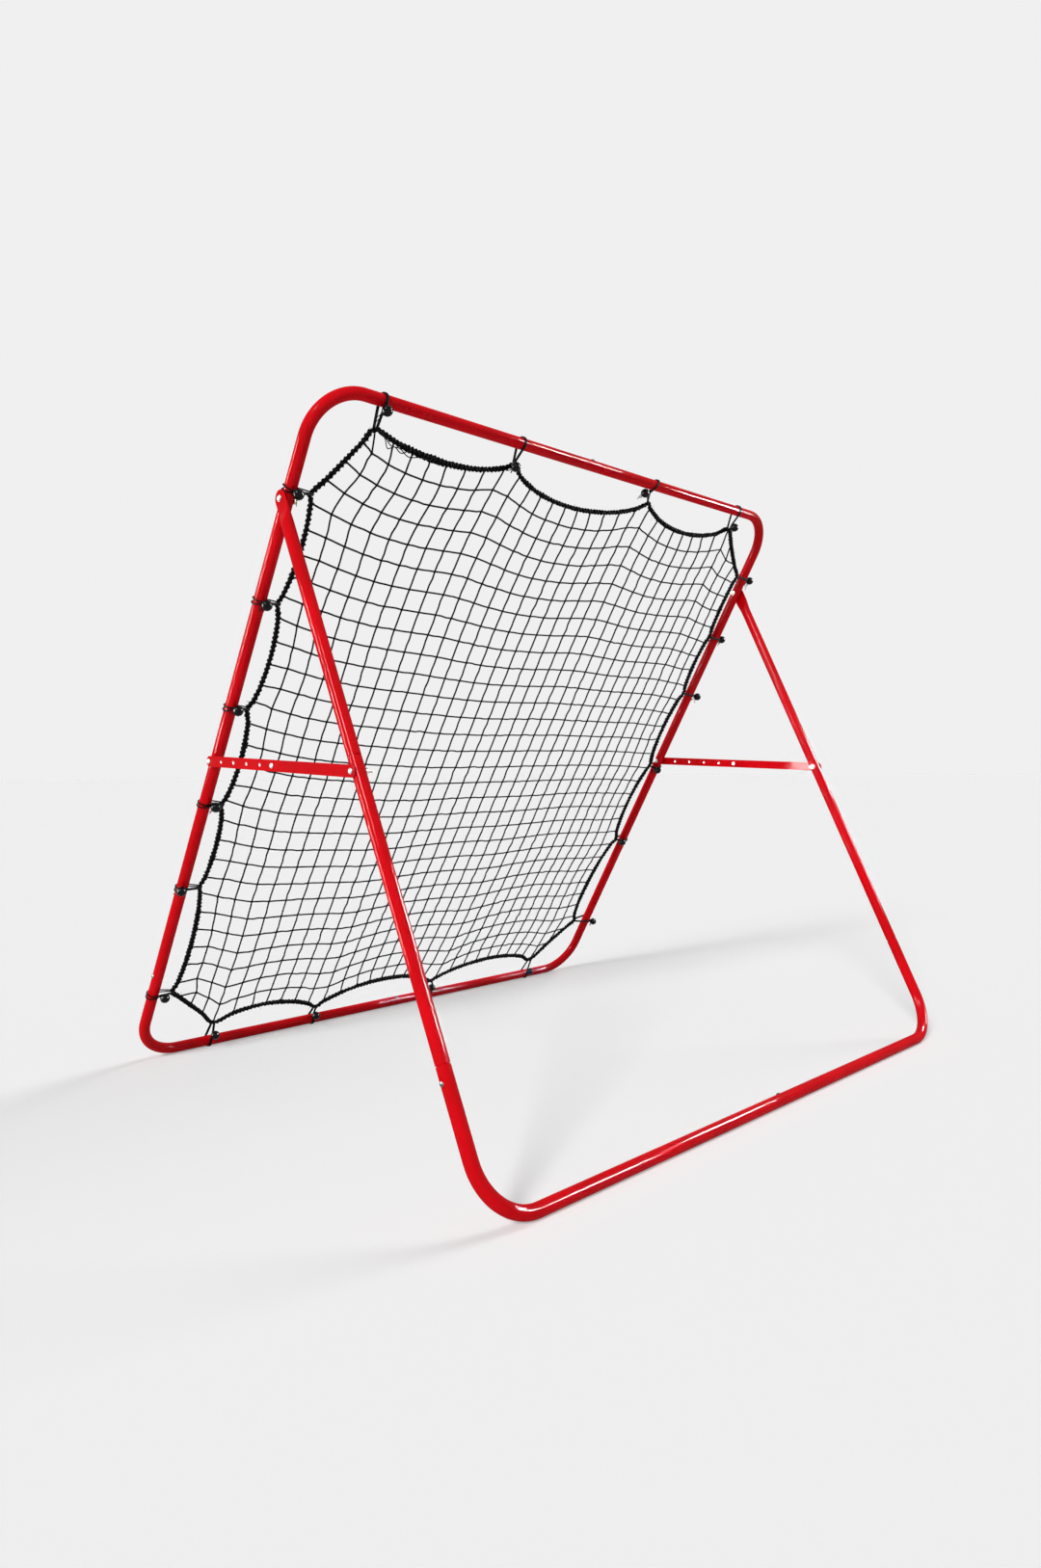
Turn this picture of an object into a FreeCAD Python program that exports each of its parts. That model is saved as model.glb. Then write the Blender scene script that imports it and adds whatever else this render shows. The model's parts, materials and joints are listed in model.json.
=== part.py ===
import FreeCAD, Part
import math
import os

# Pitch back rebounder: a net in a leaning tube frame, held up by a folding leg frame.
# Units are millimetres and degrees. X runs across, Y from the leg frame's foot to the net frame's
# foot, Z up from the ground. The origin is on the ground at the middle of the whole object.
# Each frame is drawn flat, with X across and Y up its own plane, and is then stood up. The net
# frame's flat Z points to the leg frame's side, which is called its front.

V = FreeCAD.Vector

# Round tube
TUBE_D = 25.0
TUBE_WALL = 1.5
BEND_R = 100.0
BEND_CHORDS = 6
SPIGOT_LENGTH = 52.0
SPIGOT_CLEARANCE = 0.1
SWAGE_LENGTH = 2.0
FASTENER_PAST_JOINT = 26.0

# Net frame, between the centrelines of its tubes
NET_HALF_WIDTH = 750.0
NET_FRAME_LENGTH = 1590.0
LOW_JOINT_HEIGHT = 267.0
TOP_JOINT_OFFSET = 11.0
BOTTOM_JOINT_OFFSET = -5.0

# Leg frame, from the pivot on the net frame's uprights to the base bar's centreline
PIVOT_BELOW_TOP = 221.0
LEG_LENGTH = 1315.0
LEG_SPLAY = 8.0
LOW_LEG_JOINT_DROP = 1068.0
BASE_JOINT_OFFSET = 10.0
TONGUE_WIDTH = 34.0
TONGUE_FLAT = 24.0
TONGUE_BLEND = 28.0
TONGUE_GAP = 0.3

# Stays: on each side a holed bar and a plain bar, bolted together in one of the holes
STAY_ARM = 563.0
STAY_PITCH = 52.75
STAY_HOLES = 5
STAY_WIDTH = 22.0
STAY_THICK = 3.0
STAY_HOLE_D = 6.8
STAY_GAP = 0.5
BAR_TO_BAR_GAP = 0.3

# Bolts, nuts, washers and joint screws
BOLT_D = 6.0
BOLT_CLEARANCE = 0.15
HINGE_CLEARANCE = 0.06
HEAD_D = 11.0
HEAD_HEIGHT = 3.6
NUT_ACROSS_FLATS = 10.0
NUT_HEIGHT = 5.0
WASHER_D = 13.0
WASHER_THICK = 1.2
THREAD_TAIL = 2.0
LEG_THREAD_TAIL = 9.0
SCREW_HEAD_D = 9.0
SCREW_HEAD_HEIGHT = 2.4
HEAD_SIDES = 12
HOLE_SIDES = 12
SEAT = 0.05

# Net, border rope, elastic loops and balls
ROPE_D = 7.0
ROPE_SIDES = 6
ROPE_CHORDS = 4
TWINE = 2.5
NET_GAPS = 15
SCALLOP = 0.12
CORNER_SCALLOP = 0.06
ELASTIC_D = 3.0
LOOP_WIDTH = 6.5
NEAR_STEPS = 8
FAR_STEPS = 3
BALL_D = 22.0
BALL_BANDS = 6
BALL_SIDES = 8
SOFT_GAP = 0.3
STANDING_SQUASH = 1.5

# The elastic loops of each side: the share of the side's straight run where the loop sits, the
# rope's distance inside the tube's centreline, and how far along and inwards its ball sits.
LOOPS = {
    "left": ((0.060, 46, 6, 18), (0.2755, 41, 9.5, -12.5), (0.432, 39, 7, 13),
             (0.597, 37, 8, 2), (0.7655, 40, 3.5, 1), (0.928, 45, -0.5, 3.5)),
    "right": ((0.0705, 59, -5.7, -21.5), (0.300, 35, 0.5, 25.3), (0.4964, 33, -4.5, 18),
              (0.678, 30, -2.5, -22), (0.812, 30, -2, -26.4), (0.9496, 32, -4.5, -25.7)),
    "top": ((0.0323, 54, -3, 12.7), (0.3154, 45, -9, 47),
            (0.6754, 45, -31, 23.6), (0.9508, 52, -6, 40.5)),
    "bottom": ((0.063, 58, 2, 35), (0.296, 40, -5.8, 28),
               (0.602, 50, 15, 23.7), (0.924, 59, -4.5, 26.6)),
}

TUBE_R = TUBE_D / 2
SPIGOT_R = TUBE_R - TUBE_WALL - SPIGOT_CLEARANCE
BOLT_R = BOLT_D / 2
BALL_R = BALL_D / 2
ROPE_R = ROPE_D / 2
STAY_END = STAY_WIDTH / 2
STAY_LENGTH = STAY_HOLES * STAY_PITCH
TONGUE_THICK = 2 * TUBE_WALL
TONGUE_MIDDLE = NET_HALF_WIDTH + TUBE_R + TONGUE_GAP + TONGUE_THICK / 2
LOOP_NEAR_R = TUBE_R + SOFT_GAP
LOOP_FAR_R = ROPE_R + SOFT_GAP
NET_EDGE = ROPE_R + SOFT_GAP
SIDES = {"left": -1, "right": 1}
ACROSS = V(1, 0, 0)
UP_PLANE = V(0, 1, 0)

# Every bolt or screw sits a set distance past a joint line, so the joint lines follow from them.
PIVOT_HEIGHT = NET_FRAME_LENGTH - PIVOT_BELOW_TOP
STAY_BOLT_HEIGHT = PIVOT_HEIGHT - STAY_ARM
LOW_SCREW_HEIGHT = LOW_JOINT_HEIGHT - FASTENER_PAST_JOINT
MIDDLE_JOINT_HEIGHT = STAY_BOLT_HEIGHT + FASTENER_PAST_JOINT
HIGH_JOINT_HEIGHT = PIVOT_HEIGHT + FASTENER_PAST_JOINT
HIGH_LEG_JOINT_DROP = STAY_ARM - FASTENER_PAST_JOINT
LOW_LEG_SCREW_DROP = LOW_LEG_JOINT_DROP + FASTENER_PAST_JOINT
BOTTOM_SCREW_OFFSET = BOTTOM_JOINT_OFFSET + FASTENER_PAST_JOINT
BASE_SCREW_OFFSET = BASE_JOINT_OFFSET + FASTENER_PAST_JOINT
TOP_SCREW_OFFSET = TOP_JOINT_OFFSET - FASTENER_PAST_JOINT

# The stays in line and the two arms above them make a triangle, which sets the opening angle.
OPEN_ANGLE = 2 * math.degrees(math.asin(STAY_LENGTH / STAY_ARM))
CLOSED_ANGLE = 2 * math.degrees(math.asin((STAY_HOLES + 1) * STAY_PITCH / 2 / STAY_ARM))


def net_frame_lean():
    """Angle of the net frame from upright when both feet are on the ground."""
    opening = math.radians(OPEN_ANGLE)
    along = PIVOT_HEIGHT - LEG_LENGTH * math.cos(opening)
    across = LEG_LENGTH * math.sin(opening)
    reach = math.hypot(along, across)
    return math.degrees(math.acos(-STANDING_SQUASH / reach) - math.atan2(across, along))


LEAN = net_frame_lean()
LEG_ANGLE = OPEN_ANGLE - LEAN
NET_FOOT_RUN = PIVOT_HEIGHT * math.sin(math.radians(LEAN))
LEG_FOOT_RUN = LEG_LENGTH * math.sin(math.radians(LEG_ANGLE))
FOOT_TO_FOOT = NET_FOOT_RUN + LEG_FOOT_RUN
NET_FOOT = V(0, (FOOT_TO_FOOT + TUBE_R - LOOP_NEAR_R - ELASTIC_D) / 2, TUBE_R + STANDING_SQUASH)
LEG_FOOT = V(0, NET_FOOT.y - FOOT_TO_FOOT, TUBE_R)
NET_PLANE = FreeCAD.Placement(NET_FOOT, FreeCAD.Rotation(ACROSS, 90 + LEAN))
LEG_PLANE = FreeCAD.Placement(LEG_FOOT, FreeCAD.Rotation(ACROSS, 90 - LEG_ANGLE))


# Small helpers

def stood(shape, plane):
    """A copy of a flat-drawn shape, stood up in its frame's plane."""
    copy = shape.copy()
    copy.Placement = plane.multiply(copy.Placement)
    return copy


def unit(start, end):
    """Direction from one point to another."""
    return end.sub(start).normalize()


def rod(start, end, radius):
    """Round bar from one point to another."""
    return Part.makeCylinder(radius, start.distanceToPoint(end), start, end.sub(start))


def fused(shapes):
    """One solid from shapes that touch or overlap."""
    return shapes[0].multiFuse(shapes[1:]).removeSplitter()


def holed_face(outline, holes):
    """Flat face with holes in it."""
    return Part.makeFace([outline] + holes, "Part::FaceMakerBullseye")


def polygon(radius, sides, height=0.0):
    """Regular outline about Z, with its corners at the radius."""
    corners = []
    for index in range(sides + 1):
        angle = 2 * math.pi * index / sides
        corners.append(V(radius * math.cos(angle), radius * math.sin(angle), height))
    return Part.makePolygon(corners)


def pointed(shape, start, direction):
    """The shape with its origin moved to the start and its Z turned to the direction."""
    shape.Placement = FreeCAD.Placement(start, FreeCAD.Rotation(V(0, 0, 1), direction))
    return shape


def arc(start, middle, end):
    """Edge on the circle through three points."""
    return Part.Arc(start, middle, end).toShape()


# Tubes

def rounded_path(points):
    """Points of the path, with its corner bent in short chords at the bending radius."""
    if len(points) == 2:
        return list(points)
    before, corner, after = points
    way_in = unit(before, corner)
    way_out = unit(corner, after)
    turn = way_in.getAngle(way_out)
    inwards = (way_out - way_in * math.cos(turn)).normalize()
    bend_start = corner - way_in * (BEND_R * math.tan(turn / 2))
    path = [before]
    for index in range(BEND_CHORDS + 1):
        angle = turn * index / BEND_CHORDS
        along = way_in * (BEND_R * math.sin(angle))
        path.append(bend_start + along + inwards * (BEND_R * (1 - math.cos(angle))))
    return path + [after]


def swept(points, radius):
    """Solid round bar along the bent path, mitred where its chords meet."""
    if len(points) == 2:
        return rod(points[0], points[1], radius)
    section = Part.Wire([Part.makeCircle(radius, points[0], unit(points[0], points[1]))])
    return Part.makePolygon(rounded_path(points)).makePipeShell([section], True, False, 1)


def tube(points, spigot_at_start=False, spigot_at_end=False):
    """Hollow tube along the path, with ends swaged down to slide into the next tube."""
    full = list(points)
    spigots = []
    for wanted, end, neighbour in ((spigot_at_start, 0, 1), (spigot_at_end, -1, -2)):
        if wanted:
            outwards = unit(points[neighbour], points[end])
            full[end] = points[end].sub(outwards * SWAGE_LENGTH)
            spigots.append((full[end], points[end], outwards))
    solids = []
    for body_r, spigot_r in ((TUBE_R, SPIGOT_R), (TUBE_R - TUBE_WALL, SPIGOT_R - TUBE_WALL)):
        lengths = [swept(full, body_r)]
        for start, joint, outwards in spigots:
            lengths.append(Part.makeCone(body_r, spigot_r, SWAGE_LENGTH, start, outwards))
            lengths.append(rod(joint, joint + outwards * SPIGOT_LENGTH, spigot_r))
        solids.append(fused(lengths) if spigots else lengths[0])
    return solids[0].cut(solids[1])


def drilled(shape, centre, radius):
    """The shape with a round hinge hole through it along X."""
    return shape.cut(rod(centre - ACROSS * TUBE_D, centre + ACROSS * TUBE_D, radius))


def punched(shape, centre, radius):
    """The shape with a hole through it along X for a fixed bolt, in flat facets to keep it light."""
    outline = Part.Face(polygon(radius / math.cos(math.pi / HOLE_SIDES), HOLE_SIDES))
    return shape.cut(pointed(outline.extrude(V(0, 0, 2 * TUBE_D)), centre - ACROSS * TUBE_D, ACROSS))


def net_frame_tubes(side):
    """The four tubes of one side of the net frame, flat, keyed by their place."""
    sign = SIDES[side]
    left = side == "left"

    def edge(height):
        return V(sign * NET_HALF_WIDTH, height, 0)

    bottom_end = V(BOTTOM_JOINT_OFFSET, 0, 0)
    top_end = V(TOP_JOINT_OFFSET, NET_FRAME_LENGTH, 0)
    tubes = {
        "bottom_corner": tube([edge(LOW_JOINT_HEIGHT), edge(0), bottom_end], spigot_at_end=left),
        "lower_upright": tube([edge(MIDDLE_JOINT_HEIGHT), edge(LOW_JOINT_HEIGHT)], spigot_at_end=True),
        "upper_upright": tube([edge(HIGH_JOINT_HEIGHT), edge(MIDDLE_JOINT_HEIGHT)], spigot_at_end=True),
        "top_corner": tube([edge(HIGH_JOINT_HEIGHT), edge(NET_FRAME_LENGTH), top_end],
                           spigot_at_start=True, spigot_at_end=not left),
    }
    for names, height in ((("lower_upright", "upper_upright"), STAY_BOLT_HEIGHT),
                          (("upper_upright", "top_corner"), PIVOT_HEIGHT)):
        for name in names:
            tubes[name] = punched(tubes[name], edge(height), BOLT_R + BOLT_CLEARANCE)
    return tubes


def leg_point(side, drop):
    """Point on a leg's centreline, this far below the pivot along the leg frame's plane."""
    return V(SIDES[side] * (TONGUE_MIDDLE + LEG_SPLAY * drop / LEG_LENGTH), LEG_LENGTH - drop, 0)


def four_sided(centre, sideways, half_thick, half_width, bulge_r=None):
    """Closed outline with four corners, its sides straight or bulged out to a circle."""
    across = V(0, 0, 1)
    corners = []
    for along, over in ((1, 1), (1, -1), (-1, -1), (-1, 1)):
        corners.append(centre + sideways * (along * half_thick) + across * (over * half_width))
    edges = []
    outwards = (sideways, across * -1, sideways * -1, across)
    for index, outward in enumerate(outwards):
        start = corners[index]
        end = corners[(index + 1) % 4]
        if bulge_r:
            edges.append(arc(start, centre + outward * bulge_r, end))
        else:
            edges.append(Part.makeLine(start, end))
    return Part.Wire(edges)


def tongue_blend(side):
    """Loft from the round leg tube to its pressed, flat end."""
    centre = leg_point(side, TONGUE_FLAT + TONGUE_BLEND)
    axis = unit(centre, leg_point(side, LEG_LENGTH))
    sideways = axis.cross(V(0, 0, 1)).normalize()
    corner = math.radians(15)
    round_end = four_sided(centre, sideways, TUBE_R * math.sin(corner), TUBE_R * math.cos(corner), TUBE_R)
    flat_centre = V(leg_point(side, 0).x, LEG_LENGTH - TONGUE_FLAT, 0)
    facing = V(math.copysign(1, sideways.x), 0, 0)
    flat_end = four_sided(flat_centre, facing, TONGUE_THICK / 2, TONGUE_WIDTH / 2)
    return Part.makeLoft([flat_end, round_end], True, False)


def upper_leg(side):
    """Top tube of one leg, pressed flat and rounded where it turns on the pivot bolt."""
    middle = leg_point(side, 0).x
    start = leg_point(side, TONGUE_FLAT + TONGUE_BLEND)
    body = [start, leg_point(side, HIGH_LEG_JOINT_DROP)]
    half_width = TONGUE_WIDTH / 2
    half_thick = TONGUE_THICK / 2
    flat_corner = V(middle - half_thick, LEG_LENGTH - TONGUE_FLAT, -half_width)
    flat = Part.makeBox(TONGUE_THICK, TONGUE_FLAT, TONGUE_WIDTH, flat_corner)
    pivot = V(middle, LEG_LENGTH, 0)
    end = rod(pivot - ACROSS * half_thick, pivot + ACROSS * half_thick, half_width)
    leg = fused([tube(body, spigot_at_end=True), tongue_blend(side), flat, end])
    leg = drilled(leg, pivot, BOLT_R + HINGE_CLEARANCE)
    return punched(leg, leg_point(side, STAY_ARM), BOLT_R + BOLT_CLEARANCE)


def leg_frame_tubes(side):
    """The three tubes of one side of the leg frame, flat, keyed by their place."""
    low_joint = leg_point(side, LOW_LEG_JOINT_DROP)
    high_joint = leg_point(side, HIGH_LEG_JOINT_DROP)
    base_end = V(BASE_JOINT_OFFSET, 0, 0)
    middle_leg = tube([high_joint, low_joint], spigot_at_end=True)
    corner = tube([low_joint, leg_point(side, LEG_LENGTH), base_end], spigot_at_end=side == "left")
    middle_leg = punched(middle_leg, leg_point(side, STAY_ARM), BOLT_R + BOLT_CLEARANCE)
    return {"upper_leg": upper_leg(side), "middle_leg": middle_leg, "base_corner": corner}


# Fasteners

def domed_head(seat, outwards, radius, height):
    """Low domed head in two rows of facets, standing on its seat."""
    rim = polygon(radius, HEAD_SIDES, height / 3)
    top = polygon(radius / 2, HEAD_SIDES, height)
    return pointed(Part.makeLoft([polygon(radius, HEAD_SIDES), rim, top], True, True), seat, outwards)


def bolt(seat, outwards, length):
    """Bolt with its head on the seat and its round shank going the other way."""
    head = domed_head(seat, outwards, HEAD_D / 2, HEAD_HEIGHT)
    return fused([head, rod(seat, seat - outwards * length, BOLT_R)])


def faceted_shank(start, direction, length):
    """Shank of the middle bolt, which sits still in its holes."""
    return pointed(Part.Face(polygon(BOLT_R, HEAD_SIDES)).extrude(V(0, 0, length)), start, direction)


def ring(seat, outwards, outline, thickness, bore_r):
    """Flat ring or nut of the given outline, standing on its seat, with a bore of flat facets."""
    bore = polygon(bore_r / math.cos(math.pi / HEAD_SIDES), HEAD_SIDES)
    return pointed(holed_face(outline, [bore]).extrude(V(0, 0, thickness)), seat, outwards)


def washer(seat, outwards):
    """Flat round washer on its seat."""
    return ring(seat, outwards, polygon(WASHER_D / 2, HEAD_SIDES), WASHER_THICK, BOLT_R + BOLT_CLEARANCE)


def nut(seat, outwards):
    """Hexagon nut on its seat."""
    corner_r = NUT_ACROSS_FLATS / 2 / math.cos(math.radians(30))
    return ring(seat, outwards, polygon(corner_r, 6), NUT_HEIGHT, BOLT_R + SEAT)


def screw_head(seat, outwards):
    """Head of a joint screw on the tube."""
    return domed_head(seat, outwards, SCREW_HEAD_D / 2, SCREW_HEAD_HEIGHT)


def cross_bolt(centre, outer_x, inner_x, tail):
    """Bolt along X with its head outside and a washer and nut inside, for the right-hand side."""
    inner_seat = V(inner_x - SEAT, centre.y, centre.z)
    nut_seat = inner_seat - ACROSS * (WASHER_THICK + SEAT)
    head_seat = V(outer_x, centre.y, centre.z)
    length = outer_x - nut_seat.x + NUT_HEIGHT + tail
    return (bolt(head_seat, ACROSS, length), washer(inner_seat, ACROSS * -1), nut(nut_seat, ACROSS * -1))


def both_sides(shapes):
    """Copies of right-hand shapes on both sides, as one group of separate solids."""
    mirrored = [shape.mirror(V(0, 0, 0), ACROSS) for shape in shapes]
    return Part.makeCompound(list(shapes) + mirrored)


def pivot_fasteners():
    """Pivot bolts, their washers and their nuts, on both sides."""
    centre = NET_PLANE.multVec(V(NET_HALF_WIDTH, PIVOT_HEIGHT, 0))
    outer_seat = V(TONGUE_MIDDLE + TONGUE_THICK / 2 + TONGUE_GAP, centre.y, centre.z)
    head_x = outer_seat.x + WASHER_THICK + SEAT
    parts = cross_bolt(centre, head_x, NET_HALF_WIDTH - TUBE_R, THREAD_TAIL)
    washers = [parts[1], washer(outer_seat, ACROSS)]
    return both_sides([parts[0]]), both_sides(washers), both_sides([parts[2]])


def net_frame_screws():
    """Screw heads of the net frame's four joints."""
    top_seat = V(TOP_SCREW_OFFSET, NET_FRAME_LENGTH + TUBE_R + SEAT, 0)
    bottom_seat = V(BOTTOM_SCREW_OFFSET, TUBE_R + SEAT, 0)
    heads = [screw_head(top_seat, UP_PLANE), screw_head(bottom_seat, UP_PLANE)]
    for sign in SIDES.values():
        seat = V(sign * (NET_HALF_WIDTH + TUBE_R + SEAT), LOW_SCREW_HEIGHT, 0)
        heads.append(screw_head(seat, ACROSS * sign))
    return stood(Part.makeCompound(heads), NET_PLANE)


def leg_frame_screws():
    """Screw heads of the leg frame's three joints."""
    heads = [screw_head(V(BASE_SCREW_OFFSET, TUBE_R + SEAT, 0), UP_PLANE)]
    for side, sign in SIDES.items():
        centre = leg_point(side, LOW_LEG_SCREW_DROP)
        heads.append(screw_head(centre + ACROSS * (sign * (TUBE_R + SEAT)), ACROSS * sign))
    return stood(Part.makeCompound(heads), LEG_PLANE)


# Stays, for the right-hand side: the pair runs straight, and leans outwards to clear the leg

NET_STAY_POINT = NET_PLANE.multVec(V(NET_HALF_WIDTH, STAY_BOLT_HEIGHT, 0))
LEG_STAY_POINT = LEG_PLANE.multVec(leg_point("right", STAY_ARM))
STAY_OFFSET = TUBE_R + STAY_GAP + STAY_THICK / 2
BAR_STEP = STAY_THICK + BAR_TO_BAR_GAP
HOLED_PIVOT = NET_STAY_POINT + ACROSS * STAY_OFFSET
PLAIN_PIVOT = LEG_STAY_POINT + ACROSS * STAY_OFFSET
BAR_RISE = (PLAIN_PIVOT.x - HOLED_PIVOT.x - BAR_STEP) / 2
STAY_MIDDLE = (HOLED_PIVOT + PLAIN_PIVOT) * 0.5
HOLED_MIDDLE = V(HOLED_PIVOT.x + BAR_RISE, STAY_MIDDLE.y, STAY_MIDDLE.z)
PLAIN_MIDDLE = V(PLAIN_PIVOT.x - BAR_RISE, STAY_MIDDLE.y, STAY_MIDDLE.z)


def flat_bar(pivot, middle):
    """Flat bar with round ends from its pivot hole to the middle bolt's hole."""
    lengthways = unit(pivot, middle)
    widthways = ACROSS.cross(lengthways).normalize()
    thickways = lengthways.cross(widthways)
    half = thickways * (STAY_THICK / 2)
    side_step = widthways * STAY_END
    corners = [pivot - side_step, middle - side_step, middle + side_step, pivot + side_step]
    outline = Part.Wire([
        Part.makeLine(corners[0], corners[1]),
        arc(corners[1], middle + lengthways * STAY_END, corners[2]),
        Part.makeLine(corners[2], corners[3]),
        arc(corners[3], pivot - lengthways * STAY_END, corners[0]),
    ])
    outline.translate(half * -1)
    bar = Part.Face(outline).extrude(half * 2)
    return drilled(bar, pivot, BOLT_R + HINGE_CLEARANCE)


def holed_bar():
    """Bar on the net frame, with the holes that set the angle."""
    bar = flat_bar(HOLED_PIVOT, HOLED_MIDDLE)
    for index in range(1, STAY_HOLES + 1):
        place = HOLED_PIVOT + (HOLED_MIDDLE - HOLED_PIVOT) * (index / STAY_HOLES)
        bar = punched(bar, place, STAY_HOLE_D / 2)
    return bar


def plain_bar():
    """Bar on the leg, with one hole for the middle bolt."""
    return punched(flat_bar(PLAIN_PIVOT, PLAIN_MIDDLE), PLAIN_MIDDLE, STAY_HOLE_D / 2)


def middle_bolt():
    """Head and shank of the middle bolt, as far as the gap between the bars."""
    half = STAY_THICK / 2
    head_seat = PLAIN_MIDDLE + ACROSS * (half + SOFT_GAP)
    head = domed_head(head_seat, ACROSS, HEAD_D / 2, HEAD_HEIGHT)
    return fused([head, faceted_shank(head_seat, ACROSS * -1, STAY_THICK + SOFT_GAP)])


def middle_nut():
    """Nut of the middle bolt and the bolt's threaded end, on the holed bar's side of the gap."""
    half = STAY_THICK / 2
    seat = HOLED_MIDDLE - ACROSS * (half + SOFT_GAP)
    length = STAY_THICK + SOFT_GAP + NUT_HEIGHT + THREAD_TAIL
    return nut(seat, ACROSS * -1), faceted_shank(HOLED_MIDDLE + ACROSS * half, ACROSS * -1, length)


# Elastic loops, border rope and net

def run_length(side):
    """Length of the straight tube on one side of the net frame, between the corner bends."""
    full = NET_FRAME_LENGTH if side in SIDES else 2 * NET_HALF_WIDTH
    return full - 2 * BEND_R


def slid_clear(height):
    """Height of a loop on an upright, slid along to clear the tongue and the stay's end."""
    for centre, radius in ((PIVOT_HEIGHT, TONGUE_WIDTH / 2), (STAY_BOLT_HEIGHT, STAY_END)):
        room = radius + LOOP_WIDTH / 2 + 2 * SOFT_GAP
        if abs(height - centre) < room:
            return centre + math.copysign(room, height - centre)
    return height


def loop_place(side, share):
    """How far along its side a loop sits: a height on the uprights, an X on the bars."""
    if side in SIDES:
        return slid_clear(BEND_R + share * run_length(side))
    return (share - 0.5) * run_length(side)


def on_side(side, along, inwards, front):
    """Flat point given from the centreline of one side's tube."""
    if side in SIDES:
        return V(SIDES[side] * (NET_HALF_WIDTH - inwards), along, front)
    if side == "top":
        return V(along, NET_FRAME_LENGTH - inwards, front)
    return V(along, inwards, front)


def band_outline(side, along, distance, near_r, far_r):
    """Closed outline in flat steps round a tube and a rope some distance inside it."""
    slope = band_slope(distance, near_r, far_r)
    near_turn = -math.pi - 2 * slope
    far_turn = 2 * slope - math.pi
    corners = []
    for inwards, radius, start, turn, steps in ((0, near_r, slope, near_turn, NEAR_STEPS),
                                                (distance, far_r, math.pi - slope, far_turn, FAR_STEPS)):
        step = turn / steps
        corner_r = radius / math.cos(step / 2)
        for index in range(steps):
            angle = start + (index + 0.5) * step
            over = inwards + corner_r * math.sin(angle)
            corners.append(on_side(side, along, over, corner_r * math.cos(angle)))
    return Part.makePolygon(corners + corners[:1])


def band_slope(distance, near_r, far_r):
    """Angle between the band's straight run and the net frame's plane."""
    return math.asin((near_r - far_r) / distance)


def elastic_loop(side, share, distance):
    """Doubled elastic round the tube and the border rope, as one band."""
    start = loop_place(side, share) - LOOP_WIDTH / 2
    outer = band_outline(side, start, distance, LOOP_NEAR_R + ELASTIC_D, LOOP_FAR_R + ELASTIC_D)
    inner = band_outline(side, start, distance, LOOP_NEAR_R, LOOP_FAR_R)
    lengthways = UP_PLANE if side in SIDES else ACROSS
    return holed_face(outer, [inner]).extrude(lengthways * LOOP_WIDTH)


def ball_front(distance, along, inwards):
    """How far to the front a ball sits when it rests on its elastic, or on the tube beside it."""
    reach = BALL_R + SEAT
    beside = max(0.0, abs(along) - LOOP_WIDTH / 2)
    if beside >= reach:
        return math.sqrt((TUBE_R + BALL_R + SOFT_GAP) ** 2 - inwards ** 2)
    over = math.sqrt(reach ** 2 - beside ** 2)
    near_r = LOOP_NEAR_R + ELASTIC_D + over
    slope = band_slope(distance, near_r, LOOP_FAR_R + ELASTIC_D + over)
    half_step = (math.pi / 2 + slope) / NEAR_STEPS
    corner_rise = (LOOP_NEAR_R + ELASTIC_D) * (1 / math.cos(half_step) - 1)
    if inwards <= near_r * math.sin(slope):
        return math.sqrt((near_r + corner_rise) ** 2 - inwards ** 2)
    return (near_r - inwards * math.sin(slope)) / math.cos(slope)


def ball(side, share, distance, along, inwards):
    """Ball that holds the ends of one elastic loop, in flat facets with its poles to front and back."""
    sections = [Part.Vertex(0, 0, -BALL_R)]
    for band in range(1, BALL_BANDS):
        angle = math.pi * band / BALL_BANDS
        sections.append(polygon(BALL_R * math.sin(angle), BALL_SIDES, -BALL_R * math.cos(angle)))
    sections.append(Part.Vertex(0, 0, BALL_R))
    round_ball = Part.makeLoft(sections, True, True)
    centre = on_side(side, loop_place(side, share) + along, inwards, ball_front(distance, along, inwards))
    return pointed(round_ball, centre, V(0, 0, 1))


def rope_grips():
    """Short straight stretches of border rope inside the loops, in order round the net."""
    half = LOOP_WIDTH / 2 + ROPE_R + SOFT_GAP
    grips = []
    for side, direction in (("left", 1), ("top", 1), ("right", -1), ("bottom", -1)):
        for share, distance, *_ in LOOPS[side][::direction]:
            place = loop_place(side, share)
            start = on_side(side, place - direction * half, distance, 0)
            grips.append((side, start, on_side(side, place + direction * half, distance, 0)))
    return grips


def rope_corners():
    """Corners of the border rope: each grip, then short chords of a bow to the next."""
    grips = rope_grips()
    middle = V(0, NET_FRAME_LENGTH / 2, 0)
    corners = []
    for (side, entry, start), (next_side, end, _) in zip(grips, grips[1:] + grips[:1]):
        chord = end - start
        square = V(-chord.y, chord.x, 0).normalize()
        halfway = (start + end) * 0.5
        inwards = math.copysign(1, square.dot(middle - halfway))
        bow = SCALLOP if side == next_side else CORNER_SCALLOP
        span = arc(start, halfway + square * (inwards * bow * chord.Length), end)
        corners += [entry] + span.discretize(ROPE_CHORDS + 1)[:-1]
    return corners


def border_rope():
    """Thick rope round the net, with six flat sides and mitred corners."""
    corners = rope_corners()
    start = (corners[0] + corners[1]) * 0.5
    path = Part.makePolygon([start] + corners[1:] + [corners[0], start])
    section = pointed(polygon(ROPE_R, ROPE_SIDES), start, unit(start, corners[1]))
    return path.makePipeShell([section], True, False, 1)


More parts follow.
